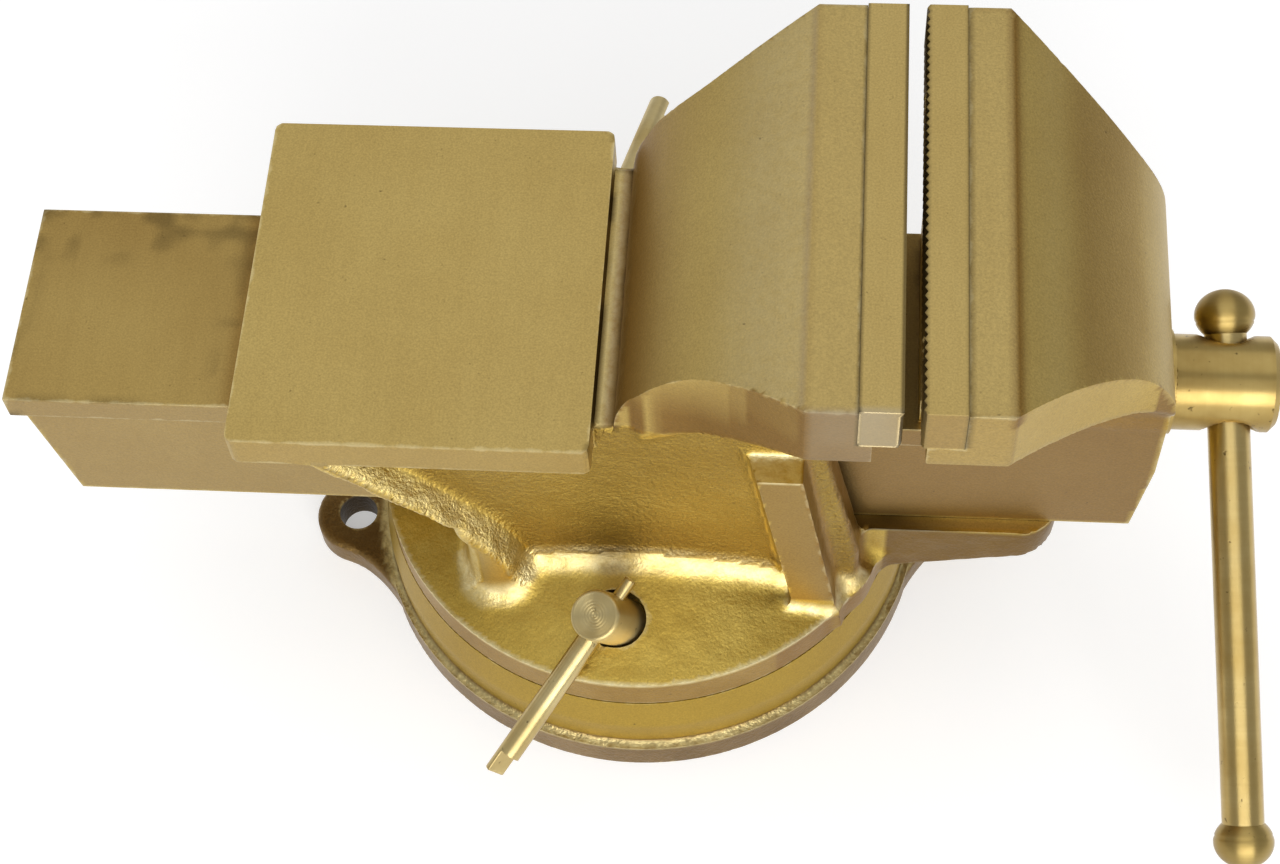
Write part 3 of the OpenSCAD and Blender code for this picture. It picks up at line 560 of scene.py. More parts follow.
def lockAxis(side):   # seat, axis and direction down the lean of a lock screw; side is -1 for the rear one
    s = Sizes(**lockSizes)
    direction, azimuth, lean = np.radians([s.direction, side * s.azimuth, s.lean])
    seat = np.array([s.place * np.cos(direction), side * s.place * np.sin(direction), s.seat])
    axis = np.array([np.sin(lean) * np.cos(azimuth), np.sin(lean) * np.sin(azimuth), np.cos(lean)])
    down = np.array([np.cos(lean) * np.cos(azimuth), np.cos(lean) * np.sin(azimuth), -np.sin(lean)])
    return seat, axis, down


def lockBore(x, side, z):   # threaded hole and wider counterbore, the same on both sides of the vise
    s = Sizes(**lockSizes)
    seat, axis, _ = lockAxis(1)
    dx, dy, dz = x - seat[0], -side - seat[1], z - seat[2]
    along, away = fromAxis(dx, dy, dz, axis)
    hole = np.maximum(away - s.thread / 2 - s.threadGap, s.tip - along)
    along, away = fromAxis(dx - s.boreShift[0], dy - s.boreShift[1], dz, axis)
    return np.minimum(hole, np.maximum(away - s.counterbore / 2, -s.sink - along))


def gussetOutlines(s):   # lower and upper edge of the slanted gusset
    arm = 1.6 * s.gussetThick
    root = s.gussetThick + arm
    bend = s.gussetThick / 2 - (s.gussetReach + s.gussetFoot) / 2
    height = (s.anvilBottom + s.rimTop + s.footRise) / 2 + s.gussetThick
    buried = s.footBottom + s.sunk
    lower = [
        (-s.gussetFoot - root, buried), (-s.gussetFoot - root, height - s.gussetFall - arm / 2),
        (bend, height - arm), (-s.gussetReach - arm, s.anvilBottom + 2)]
    upper = [
        (-s.gussetReach, s.anvilBottom + 2), (bend, height),
        (-s.gussetFoot - s.gussetThick, height - s.gussetFall), (-s.gussetFoot, buried)]
    return lower, upper


def bodyCasting(s, x, z, side, radius, front):
    # Foot cone that swells towards the walls, walls, gussets, flared collar ribs and tongue
    buried = s.footBottom + s.sunk
    slope = s.footRise / (s.footRadius - s.halfWidth)
    swell = s.footSwell * np.clip((s.footRadius - radius) / s.swellReach, 0, 1)
    top = (z - s.rimTop - swell + slope * (radius - s.footRadius)) / math.hypot(1, slope)
    foot = most(radius - s.footRadius, top, s.footBottom - z)
    lower, upper = gussetOutlines(s)
    wallSide = lower + [
        (s.anvilFront, s.anvilBottom + 2), (s.anvilFront, s.shelfTop), (8, s.shelfTop),
        (s.band - 2, s.wingUnder + 6), (front, s.throat - 6), (front, s.anvilBottom + 2),
        (front + s.collarLean, s.floorTop), (front + s.collarLean, buried)]
    walls = meet(outline(wallSide, x, z), side - s.halfWidth, s.wallRound)
    shape = join(foot, walls, s.wallFillet)
    bend = (x - upper[2][0]) * s.bendSlope[0] + (z - upper[2][1]) * s.bendSlope[1] + s.bendCut
    gussets = meet(outline(lower + upper, x, z), bend, s.bendRound)
    shape = join(shape, meet(gussets, side - s.anvilHalf, s.gussetRound), s.gussetFillet)
    ribTop = s.roof + s.mouthGap + s.ribOver
    ribEnd = s.collarPlace + s.collarThick
    rib = [
        (s.collarPlace - s.ribWiden, ribTop), (ribEnd, ribTop),
        (ribEnd + s.collarLean + s.ribWiden / 2, buried),
        (s.collarPlace + s.collarLean - s.ribWiden / 2, buried)]
    flared = np.where(x < s.collarPlace + 6, x + s.ribFlare * np.clip(s.anvilHalf - side, 0, 14), x)
    shape = join(shape, np.maximum(outline(rib, flared, z), side - s.anvilHalf), s.ribFillet)
    tongueSide = [
        (s.collarPlace, s.floorTop), (s.tongueReach, s.floorTop), (s.tongueReach, s.floorTop - s.tongueThick),
        (s.footRadius - s.footRise, buried + 3), (s.collarPlace, buried + 3)]
    tonguePlan = meet(x - s.tongueReach, side - s.tongueHalf, s.tongueThick)
    return join(shape, np.maximum(outline(tongueSide, x, z), tonguePlan), s.tongueFillet)


def fixedJaw(s, x, y, z, side, front):   # crowned side view, cut to the plan of the wings and the neck
    crownSide = crownOutline(s.ledge, s.band, s.back, s.castingTop, s.shelfTop, s.fall,
                             s.throat, s.anvilBottom)
    throatSide = [
        (s.ledge, s.throat + 2), (s.ledge, s.throat), (front, s.anvilBottom), (s.back, s.anvilBottom),
        (s.back + 15.5, s.throat + 2)]
    wingPlan = flareOutline(s.ledge, s.band, s.flareEnd, s.jawHalf, s.neckHalf, s.flare)
    under = underside(s.ledge, s.band, s.back, s.wingUnder, s.anvilBottom)
    wings = meet(outline(wingPlan, x, y), outline(under, x, z), s.wingRound)
    neck = join(side - s.neckHalf, wings, s.wingFillet)
    return np.maximum(neck, np.minimum(outline(crownSide, x, z), outline(throatSide, x, z)))


def slideTunnel(s, x, z, side):   # T-shaped tunnel for the slide, wider in the collar's mouth
    reach = np.maximum(slab(x, s.anvilRear - 9, 200), s.floorTop - z)
    web = np.maximum(side - s.webHalf, z - s.roof)
    shoulder = np.maximum(side - s.shoulderHalf, slab(z, s.shoulderBottom, s.roof))
    mouth = most(side - s.shoulderHalf - s.mouthGap + 0.2, z - s.roof - s.mouthGap + 0.2,
                 s.collarPlace + s.collarThick - x)
    return np.maximum(least(web, shoulder, mouth), reach)


def bodyField(x, y, z):
    s = Sizes(**bodySizes)
    side, radius = np.abs(y), np.hypot(x, y)
    front = s.collarPlace + s.collarThick + s.collarLip
    shape = bodyCasting(s, x, z, side, radius, front)
    anvil = meet(slab(x, s.anvilRear, s.anvilFront), side - s.anvilHalf, s.anvilRound)
    anvil = np.maximum(anvil, slab(z, s.anvilBottom, s.anvilTop))
    shape = np.minimum(join(shape, anvil, s.anvilFillet), fixedJaw(s, x, y, z, side, front))
    shape = cut(shape, slideTunnel(s, x, z, side))
    shape = cut(shape, np.maximum(s.seat - x, s.plateBottom - z))
    shape = cut(shape, lockBore(x, side, z))
    pivot = np.maximum(radius - s.pivotHole, z - s.pivotTop)
    away = np.hypot(x - s.nutPlace, y)
    nutHole = np.maximum(away - s.nutHole, z - s.floorTop - 1)
    return np.maximum(shape, -least(pivot, nutHole, np.maximum(away - s.nutSink, z - s.nutSinkTop)))


def bodyMachined(x, y, z, normal):
    s = Sizes(**bodySizes)
    side = np.abs(y)
    anvil = (z > s.anvilBottom - 0.5) & (x < s.anvilFront + 0.5)
    bands = z > s.castingTop - 0.5
    ends = (side > s.jawHalf - 1.2) & (z > s.throat)
    tunnel = (side < s.shoulderHalf + 0.3) & (z > s.floorTop - 0.3) & (z < s.roof + 0.3)
    seat = (x > s.seat - 0.3) & (z > s.plateBottom - 0.3)
    flush = (side > s.anvilHalf - 0.5) & (np.abs(normal[:, 1]) > 0.8) & (z > s.rimTop + 8)
    strip = (np.abs(z - s.shelfTop) < 1) & (x > s.anvilFront) & (x < s.back + 1)
    flare = (side > s.neckHalf - 2) & (z > s.shelfTop + 1) & (x > s.back - 1)
    crown = smoothStep(s.shelfTop + 4, s.shelfTop + 22, z) * smoothStep(0.1, 0.35, normal[:, 2])
    return most(1.0 * (anvil | bands | ends | tunnel | seat), 0.85 * flush, 0.9 * strip, 0.8 * flare,
                0.9 * crown * (x > s.back - 1))


def bodyMarks(x, y, z, normal):
    s = Sizes(**bodySizes)
    p = np.stack([x, y, z], axis=1)
    side, radius = np.abs(y), np.hypot(x, y)
    nx, ny, nz = normal.T
    patchy = 0.5 + 0.5 * lumps(p, 11.0)
    onShelf = np.abs(z - s.shelfTop)
    sideFace = smoothStep(0.6, 0.9, np.abs(ny))
    wall = sideFace * (np.abs(side - s.halfWidth) < 1.5) * (z < s.shelfTop + 1)
    tongue = (x > s.tongueStart) * (z < s.floorTop - 1)
    frontEnd = smoothStep(-s.jawHalf + 2, -s.jawHalf, y) * smoothStep(s.wingUnder - 8, s.wingUnder + 6, z)
    upperCrown = smoothStep(0.5, 0.7, nz) * smoothStep(s.band - 34, s.band - 14, x) * (z > s.throat)
    # Paler: the fixed jaw's front end and the machined bands; a painted sheen on the upper crown
    pale = 0.36 * frontEnd * smoothStep(s.band - 0.5, s.band + 1.5, x) * (0.55 + 0.45 * patchy)
    pale = pale + 0.07 * (z > s.castingTop - 0.5) + 0.12 * upperCrown * (x < s.band)

    # Darkened: at the tongue's root and on the tongue; painted shade in the tunnel's mouth, at the anvil's
    # end, at the crown's root and on the walls; dark joints and a stain beside the ribs
    tongueRoot = (np.abs(z - s.floorTop) < 0.6) * (nz > 0.7) * (x > s.collarPlace + 15)
    tongueRoot = tongueRoot * smoothStep(s.tongueReach - 24, s.tongueStart - 2, x)
    mouth = smoothStep(3, 0, np.abs(side - s.shoulderHalf - s.mouthGap))
    mouth = mouth * (x > s.collarPlace + 13) * (z < s.roof + 4)
    joint = smoothStep(1.0, 0.2, np.abs(x - s.seat)) * (z > s.plateBottom)
    anvilEnd = (nx > 0.6) * (np.abs(x - s.anvilFront) < 2) * (z > s.shelfTop - 2)
    crownRoot = smoothStep(1.6, 0.3, np.abs(x - s.back)) * (onShelf < 1.5)
    ribLeft = s.collarPlace + s.collarLean * (s.roof - z) / (s.roof - s.footBottom) - 4
    stain = bell(x - ribLeft, 3.5) * smoothStep(s.rimTop + 30, s.rimTop + 20, z) * (side > s.tongueHalf + 4)
    stain = stain * smoothStep(0.2, 0.7, 0.5 + 0.5 * lumps(p, 4.0)) * (z > s.rimTop + 5)
    grimeAndShade = most(
        np.clip(tongueRoot * (0.7 + 0.4 * patchy) + 0.5 * mouth * patchy, 0, 0.95), 0.7 * joint,
        anvilEnd * (0.3 + 0.5 * smoothStep(0.3, 0.7, patchy)), 0.55 * crownRoot, 0.65 * stain,
        0.42 * tongue, 0.28 * wall)

    # Darker: tongue, rim and the jaw's front end; painted shade on the foot of the crown, the flush faces,
    # the walls, the band's edge, the ribs' sides and the wings' faces
    crownFoot = smoothStep(s.shelfTop + 43, s.shelfTop + 10, z) * (z > s.shelfTop - 1) * (x > s.back - 3)
    crownFoot = crownFoot * smoothStep(0.05, 0.2, np.maximum(nz, -nx))
    flush = sideFace * (side > s.anvilHalf - 1) * (z > s.rimTop + 8)
    # painted shade of the lock on the wall above it
    shadeAboveLock = bell(x + 6, 6) * smoothStep(s.rimTop + 26, s.rimTop + 12, z) * (side > s.halfWidth - 2)
    rim = (radius > s.footRadius - 1.5) * (z < s.rimTop - 1)
    bandEdge = bell(x - s.band + 0.8, 1.1) * (z > s.castingTop - 3)
    ribSide = smoothStep(0.4, 0.8, nx) * (x > s.collarPlace + 5) * (x < s.tongueStart - 2)
    ribSide = ribSide * (side > s.tongueHalf) * (z < s.throat - 4)
    wingFace = (side > s.halfWidth + 1) * (z > s.shelfTop) * smoothStep(0.35, 0.15, nz) * (x < s.band)
    deep = 0.95 * tongue + crownFoot + flush * (0.25 + 0.4 * (x > s.collarPlace - 5)) + 0.4 * frontEnd
    deep = deep + wall * (0.34 + 0.2 * smoothStep(s.rimTop + 50, s.rimTop + 16, z))
    deep = deep + 0.6 * shadeAboveLock * (side < 66) + 0.75 * rim + 0.55 * bandEdge
    deep = deep + 0.95 * ribSide + 0.2 * wingFace * smoothStep(15, 35, x)

    # Painted highlights: hammered gussets, fillet at the walls' foot, ribs' tops, the shelf's strip, the
    # upper crown and the rim's edge
    strip = (onShelf < 1) * (x > s.anvilFront + 1) * (x < s.back - 1)
    lower, upper = gussetOutlines(s)
    onGusset = smoothStep(5, -2, outline(lower + upper, x, z))
    onGusset = onGusset * smoothStep(s.halfWidth + 1, s.halfWidth + 4, side)
    hammered = onGusset * (side < s.anvilHalf - 0.8) * (z > s.rimTop + 4)
    fillet = smoothStep(0.2, 0.5, nz) * smoothStep(0.9, 0.75, nz) * (z < s.rimTop + 24)
    ribTop = s.roof + s.mouthGap + s.ribOver
    ribEnd = (nz > 0.7) * (np.abs(z - ribTop) < 1.5) * (side > s.halfWidth + 0.5)
    rimEdge = smoothStep(1.3, 0.4, np.abs(radius - s.footRadius) + np.abs(z - s.rimTop))
    bright = 0.6 * fillet * (side > s.halfWidth - 3) * (0.5 + 0.5 * patchy) + 0.38 * hammered
    bright = bright + 0.9 * ribEnd + 0.26 * strip + 0.14 * upperCrown * (x < s.band - 1)
    bright = np.clip(np.maximum(bright, 0.8 * rimEdge), 0, 1)
    calm = smoothStep(6, 2, np.abs(radius - s.footRadius)) * (z < s.rimTop + 4)
    return dict(pale=pale, grimeAndShade=grimeAndShade, deep=np.clip(deep, 0, 1), hammered=hammered,
                grain=hammered + 1.1 * wall, bright=bright, calm=calm, sand=1.0 * (z > s.anvilTop + 1))


castPiece("visebody", bodyField, bodySizes, "body", "vise_body", castBronze,
          bodyMachined, bodyMarks)


# Moving jaw with its slide, running through the body

jawSizes = dict(
    low=(-209, -79, 70), high=(180, 79, 215), step=1.75, roughness=0.14, waviness=0.3,
    ledge=93.5, band=118, back=172, castingTop=211, footTop=155.6, fall=0.42, flare=1.36, jawHalf=75,
    wingUnder=181.5, wingFoot=154, wingRound=2.6, wingFillet=9.0, webHalf=34.85, shoulderHalf=37.85,
    slideTop=138.6, shoulderBottom=128.1, slideBottom=74.3, shoulderRear=-205, webRear=-202, webHeel=-194,
    frontHeel=168, spindleHeight=111, boss=22, bossFront=175.5, bossFillet=2.5, bore=12.08,
    channelHalf=22.95, channelTop=129, channelFront=146, plateFace=104.5, plateBottom=192, anvilRear=-130)


def jawField(x, y, z):
    s = Sizes(**jawSizes)
    side = np.abs(y)
    shoulder = most(slab(x, s.shoulderRear, s.ledge + 20), side - s.shoulderHalf,
                    slab(z, s.shoulderBottom, s.slideTop))
    webSide = [
        (s.webRear, s.slideTop - 2), (s.webRear, s.shoulderBottom), (s.webHeel, s.slideBottom),
        (s.frontHeel, s.slideBottom), (s.back, s.spindleHeight), (s.back, s.slideTop + 4),
        (s.ledge, s.slideTop + 4), (s.ledge, s.slideTop - 2)]
    web = np.maximum(outline(webSide, x, z), side - s.webHalf)
    crownSide = crownOutline(s.ledge, s.band, s.back, s.castingTop, s.footTop, s.fall,
                             s.slideTop - 2, s.slideTop - 2)
    wingPlan = flareOutline(s.ledge, s.band, s.back, s.jawHalf, s.shoulderHalf, s.flare)
    under = underside(s.ledge, s.band, s.back, s.wingUnder, s.wingFoot)
    wings = meet(outline(wingPlan, x, y), outline(under, x, z), s.wingRound)
    jaw = np.maximum(join(side - s.webHalf, wings, s.wingFillet), outline(crownSide, x, z))
    away = np.hypot(y, z - s.spindleHeight)
    boss = np.maximum(away - s.boss, slab(x, s.back - 6, s.bossFront))
    shape = join(least(web, jaw, shoulder), boss, s.bossFillet)
    shape = cut(shape, most(side - s.channelHalf, z - s.channelTop, x - s.channelFront))
    shape = cut(shape, np.maximum(x - s.plateFace, s.plateBottom - z))
    return cut(shape, away - s.bore)


def jawMachined(x, y, z, normal):
    s = Sizes(**jawSizes)
    side = np.abs(y)
    top = (z > s.slideTop - 0.6) & (z < s.slideTop + 0.6) & (x < s.ledge)
    shoulder = (side > s.webHalf + 0.5) & (z < s.slideTop + 0.6) & (x < s.ledge + 2)
    bands = z > s.castingTop - 0.5
    ends = (side > s.jawHalf - 1.2) & (z > s.wingUnder - 2)
    seat = (x < s.plateFace + 0.3) & (z > s.plateBottom - 0.3)
    web = (side > s.webHalf - 0.8) & (side < s.webHalf + 0.5) & (z < s.slideTop)
    crown = smoothStep(s.footTop + 2, s.footTop + 25, z) * smoothStep(0.1, 0.35, normal[:, 2])
    return most(1.0 * (top | shoulder | bands | ends | seat),
                0.8 * (web | (x < s.webHeel + 0.5) | (z > s.wingFoot - 8)), 0.7 * crown * (x > s.band - 1))


def jawMarks(x, y, z, normal):
    s = Sizes(**jawSizes)
    p = np.stack([x, y, z], axis=1)
    side = np.abs(y)
    patchy = 0.5 + 0.5 * lumps(p, 9.0)
    cloudy = lumps(p, 34.0)
    top = (np.abs(z - s.slideTop) < 0.8) * (x < s.ledge)
    sides = smoothStep(0.5, 0.9, np.abs(normal[:, 1])) * (side < s.shoulderHalf + 3)
    onCrown = smoothStep(s.castingTop - 1, s.castingTop - 14, z) * (x > s.band)
    onCrown = onCrown * smoothStep(0.1, 0.4, normal[:, 2])

    # Darkened: dirt along the slide's edges; blots beside the anvil, dirt with a painted shade; a dark joint;
    # painted shade on the slide between the jaws
    rearEdge = smoothStep(7, 0, x - s.shoulderRear) * (z > s.shoulderBottom)
    sideEdge = smoothStep(3.5, 0, s.shoulderHalf - side) * (z > s.slideTop - 0.8) * (x < 0)
    blotsAndShade = smoothStep(0.5, 0.85, 0.5 + 0.5 * lumps(p, 6.0)) * top
    blotsAndShade = blotsAndShade * np.maximum(bell(x - s.anvilRear, 6), smoothStep(10, 34, y) * (x < 0))
    grimeAndShade = (0.7 * rearEdge + 0.5 * sideEdge) * smoothStep(0.45, 0.8, patchy) + 0.45 * blotsAndShade
    joint = smoothStep(1.0, 0.2, np.abs(x - s.plateFace)) * (z > s.plateBottom)
    grimeAndShade = most(np.clip(grimeAndShade, 0, 0.8), 0.6 * joint, 0.4 * top * smoothStep(s.ledge - 9.5, s.ledge - 3.5, x))

    # Darker: the slide's top, more towards the far side, and the jaws' ends; painted shade on the middle of
    # the crown, in the ridge behind the band, beside the anvil and on the slide's sides, more towards the
    # front
    crown = onCrown * smoothStep(s.band + 10, s.band + 24, x) * smoothStep(s.back - 4, s.back - 16, x)
    ridge = bell(x - s.band - 1.2, 1.6) * (z > s.castingTop - 6)
    anvilShade = bell(x - s.anvilRear - 1, 4) * top
    deep = top * (0.37 + 0.1 * cloudy + 0.004 * y) + 0.48 * crown * (1 + 0.3 * cloudy)
    deep = deep + 0.95 * ridge + 0.45 * anvilShade + sides * (0.5 + 0.45 * smoothStep(-60, 110, x))
    deep = deep + 0.3 * (side > s.jawHalf - 1.5) * (z > s.wingUnder - 2)
    # Paler machined bands; painted highlights on the crown's back edge and beside the band; the slide's sides
    # paler towards the rear
    backEdge = onCrown * smoothStep(s.back - 14, s.back - 4, x)
    pale = 0.07 * (z > s.castingTop - 0.5) + 0.2 * backEdge
    pale = pale + sides * (0.14 - 0.05 * smoothStep(-60, 90, x))
    bright = 0.24 * onCrown * smoothStep(s.band + 20, s.band + 5, x)
    return dict(pale=pale, grimeAndShade=grimeAndShade, deep=np.clip(deep, 0, 1), bright=bright, sand=np.where(top, 0.0, 1.0))


castPiece("movingjaw", jawField, jawSizes, "slide", "moving_jaw", castBronze,
          jawMachined, jawMarks)


# Swivel base: flanged ring with two bolt lugs, hollow below, trough and hub above

baseSizes = dict(
    low=(-128, -103, -3), high=(128, 103, 43), step=1.5, roughness=0.14, waviness=0.3,
    flange=99, flangeThick=12.9, band=96.1, bandTop=25.5, bandFillet=2.0, rim=93.5, top=39.5,
    trough=82, hub=44, troughOuter=9.32, troughInner=28.09, floorThick=9, washerRecess=21,
    pivotSeat=14, pivotHole=10.08, lugReach=108.8, lugRadius=15.5, lugRoot=28, lugTurn=4.5,
    lugThick=12.6, lugFillet=14.0, lugRound=2.2, boltHole=7)


def lugFrame(x, y):   # place along and across the line through both lugs
    turn = math.radians(baseSizes["lugTurn"])
    return np.abs(x * math.cos(turn) + y * math.sin(turn)), -x * math.sin(turn) + y * math.cos(turn)


def lugPlan(s, along, across):   # a round end and the two straight sides that touch it
    rootAt = s.flange - s.lugRadius
    gap = s.lugReach - rootAt
    away = math.hypot(gap, s.lugRoot)
    swing = math.pi - math.atan2(s.lugRoot, gap) - math.acos(s.lugRadius / away)
    touch = (s.lugReach + s.lugRadius * math.cos(swing), s.lugRadius * math.sin(swing))
    sides = [(rootAt - 40, s.lugRoot), (rootAt, s.lugRoot), touch, (touch[0], -touch[1]),
             (rootAt, -s.lugRoot), (rootAt - 40, -s.lugRoot)]
    return np.minimum(outline(sides, along, across), np.hypot(along - s.lugReach, across) - s.lugRadius)


def baseField(x, y, z):
    s = Sizes(**baseSizes)
    radius = np.hypot(x, y)
    along, across = lugFrame(x, y)
    flange = np.maximum(radius - s.flange, slab(z, 0, s.flangeThick))
    plan = join(radius - s.flange + 0.6, lugPlan(s, along, across), s.lugFillet)
    flange = np.minimum(flange, meet(plan, slab(z, 0, s.lugThick), s.lugRound))
    bandSide = [(0, 0.5), (s.band, 0.5), (s.band, s.bandTop), (s.rim, s.top), (0, s.top)]
    shape = join(flange, outline(bandSide, radius, z), s.bandFillet)
    trough = [
        (s.trough, s.top + 5), (s.trough, s.troughOuter), (s.hub, s.troughInner), (s.hub, s.top + 5)]
    shape = cut(shape, outline(trough, radius, z))
    boss = s.washerRecess + s.floorThick
    hollow = [
        (boss, -5), (s.trough, -5), (s.trough, s.troughOuter - s.floorThick),
        (s.hub, s.troughInner - s.floorThick), (boss, s.troughInner - s.floorThick)]
    shape = cut(shape, outline(hollow, radius, z))
    bore = np.minimum(radius - s.pivotHole, np.maximum(radius - s.washerRecess, z - s.pivotSeat))
    bolt = np.hypot(along - s.lugReach, across) - s.boltHole
    return cut(cut(shape, bore), bolt)


def baseMachined(x, y, z, normal):
    s = Sizes(**baseSizes)
    cone = (np.hypot(x, y) > s.rim - 0.5) & (z > s.flangeThick + 2.2)
    return 1.0 * (cone | (z > s.top - 0.4))


def baseMarks(x, y, z, normal):
    s = Sizes(**baseSizes)
    radius = np.hypot(x, y)
    along, across = lugFrame(x, y)
    corner = smoothStep(3.5, 0, np.abs(z - s.flangeThick) + np.maximum(s.flange - 6 - radius, 0))
    flangeTop = smoothStep(0.5, 0.8, normal[:, 2]) * (radius > s.band - 1) * (z < s.flangeThick + 3)
    ring = flangeTop * (radius < s.flange + 1)
    inHole = (np.hypot(along - s.lugReach, across) < s.boltHole + 0.4) * (z < s.lugThick - 0.6)
    outerEdge = smoothStep(1.4, 0.4, np.abs(radius - s.flange) + np.abs(z - s.flangeThick))
    lug = flangeTop * (radius > s.flange + 2)
    flangeSide = (radius > s.flange - 1) * (np.abs(normal[:, 2]) < 0.5)
    # Painted shadow in the bolt holes, darker in the corner above the flange; painted shade on the lugs' tops
    # and darker flange sides; painted highlight on the flange's top and outer edge
    grimeAndShade = np.maximum(0.25 * corner * (z > s.flangeThick + 0.2), 0.85 * inHole)
    return dict(grimeAndShade=grimeAndShade, deep=0.65 * lug + 0.5 * flangeSide, grain=0.25,
                bright=0.6 * np.maximum(ring, outerEdge), calm=0.75 * (1 - ring))


castPiece("swivelbase", baseField, baseSizes, "base", "swivel_base", baseBronze,
          baseMachined, baseMarks)


# Jaw plates with upright teeth on their gripping faces

plateSizes = dict(
    thick=13, half=75, bottom=192, top=212, pitch=3.0, depth=1.0, screwPlace=45, screwHeight=202,
    screwHead=13.4, screwShank=8.4, headSink=6, fixedBack=73, movingBack=104.5, step=0.75,
    margin=1.5, easedEdge=0.22)


def plateField(s, back, facing, land):
    # A bar whose gripping face is a row of triangular teeth; the top of the teeth can fade into a land
    flankSlope = 0.83

    def field(x, y, z):
        depth = (x - back) * facing
        tooth = s.depth * zigzag(y / s.pitch)
        if land:
            tooth = tooth * smoothStep(s.top - 0.2, s.top - land, z)
        face = (depth - s.thick + tooth) * flankSlope
        shape = most(np.abs(y) - s.half, slab(z, s.bottom, s.top), face, -depth)
        away = np.hypot(np.abs(y) - s.screwPlace, z - s.screwHeight)
        sunk = np.maximum(away - s.screwHead / 2, s.thick - s.headSink - depth)
        return cut(shape, np.minimum(away - s.screwShank / 2, sunk))
    return field


def makePlate(name, back, facing, land, body, node):
    s = Sizes(**plateSizes)
    field = plateField(s, back, facing, land)
    ends = sorted((back - facing * s.margin, back + facing * (s.thick + s.margin)))
    low = (ends[0], -s.half - s.margin, s.bottom - s.margin)
    high = (ends[1], s.half + s.margin, s.top + s.margin)
    spots, faces = contour(field, low, high, s.step)
    normal = slopeOf(field, spots)
    edge, hollow = wearMarks(field, spots, normal, 1.0)
    depth = (spots[:, 0] - back) * facing
    frontEnd = smoothStep(-s.half + 3, -s.half, spots[:, 1]) * (facing > 0)
    pale = frontEnd * (0.4 + 0.6 * (0.5 + 0.5 * lumps(spots, 11.0)))
    teeth = smoothStep(s.thick - 1.4, s.thick - 0.6, depth)
    endFace = smoothStep(0.6, 0.9, np.abs(normal[:, 1])) * (1 - teeth)
    # Darkened teeth: painted shade between the jaws; a dark joint line; darker end faces; a paler front end;
    # the edge mark also gives a painted highlight
    marks = dict(machined=1, edge=0.7 * edge, hollow=0.8 * hollow, pale=0.7 * pale + 0.03, sand=0.5,
                 grimeAndShade=np.maximum(0.7 * teeth, 0.6 * smoothStep(0.8, 0.2, depth)), deep=0.5 * endFace)
    addMarked(name, spots, faces, marks, body, node, plateBronze, s.easedEdge)


makePlate("fixedplate", plateSizes["fixedBack"], 1, 2.5, "body", "fixed_jaw_plate")
makePlate("movingplate", plateSizes["movingBack"], -1, 0, "slide", "moving_jaw_plate")


# Turned pieces: spindle, handle, lock screws and their bars

def closeRings(rings, foot, head):   # rings of points joined by quads, with a pole on the axis at each end
    rows, count = rings.shape[:2]
    spots = np.vstack([rings.reshape(-1, 3), [[0, 0, foot], [0, 0, head]]])
    index = np.arange(rows * count).reshape(rows, count)
    beside = np.roll(index, -1, axis=1)
    quads = np.stack([index[:-1], beside[:-1], beside[1:], index[1:]], axis=2).reshape(-1, 4)
    start = np.stack([np.full(count, rows * count), beside[0], index[0]], axis=1)
    end = np.stack([np.full(count, rows * count + 1), index[-1], beside[-1]], axis=1)
    return spots, quads.tolist() + start.tolist() + end.tolist()


def lathe(profile, count):
    # A profile of (radius, height) rows turned about the height axis; its first and last rows are poles
    rows = np.asarray(profile, float)
    angle = np.linspace(0, 2 * np.pi, count, endpoint=False)
    ring = np.stack([np.cos(angle), np.sin(angle)], axis=1)
    radius, height = rows[1:-1, None, :1], rows[1:-1, None, 1:]
    rings = np.concatenate([radius * ring[None], np.broadcast_to(height, (len(height), count, 1))], axis=2)
    return closeRings(rings, rows[0, 1], rows[-1, 1])


def softProfile(corners, radii, steps=5):
    # A profile with each corner rounded: a quadratic arc between points set back along both sides
    corners = np.asarray(corners, float)
    rows = [corners[:1]]
    for before, here, after, radius in zip(corners[:-2], corners[1:-1], corners[2:], radii):
        if not radius:
            rows.append(here[None])
            continue
        backTo, onTo = before - here, after - here
        a = here + backTo / np.linalg.norm(backTo) * radius
        b = here + onTo / np.linalg.norm(onTo) * radius
        t = np.linspace(0, 1, steps)[:, None]
        rows.append((1 - t) ** 2 * a + 2 * t * (1 - t) * here + t * t * b)
    rows.append(corners[-1:])
    return np.vstack(rows)


def fillRows(profile, spacing):   # more rows along the long stretches of a profile
    parts = []
    for a, b in zip(profile[:-1], profile[1:]):
        n = max(1, int(np.linalg.norm(b - a) / spacing))
        parts.append(a + (b - a) * np.linspace(0, 1, n, endpoint=False)[:, None])
    return np.vstack(parts + [profile[-1:]])


def axesAlong(direction, beside=(0.0, 0.0, 1.0)):   # two directions square to an axis, then the axis
    direction = np.asarray(direction, float) / np.linalg.norm(direction)
    beside = np.asarray(beside, float)
    first = beside - direction * (beside @ direction)
    first = first / np.linalg.norm(first)
    return np.stack([first, np.cross(direction, first), direction])


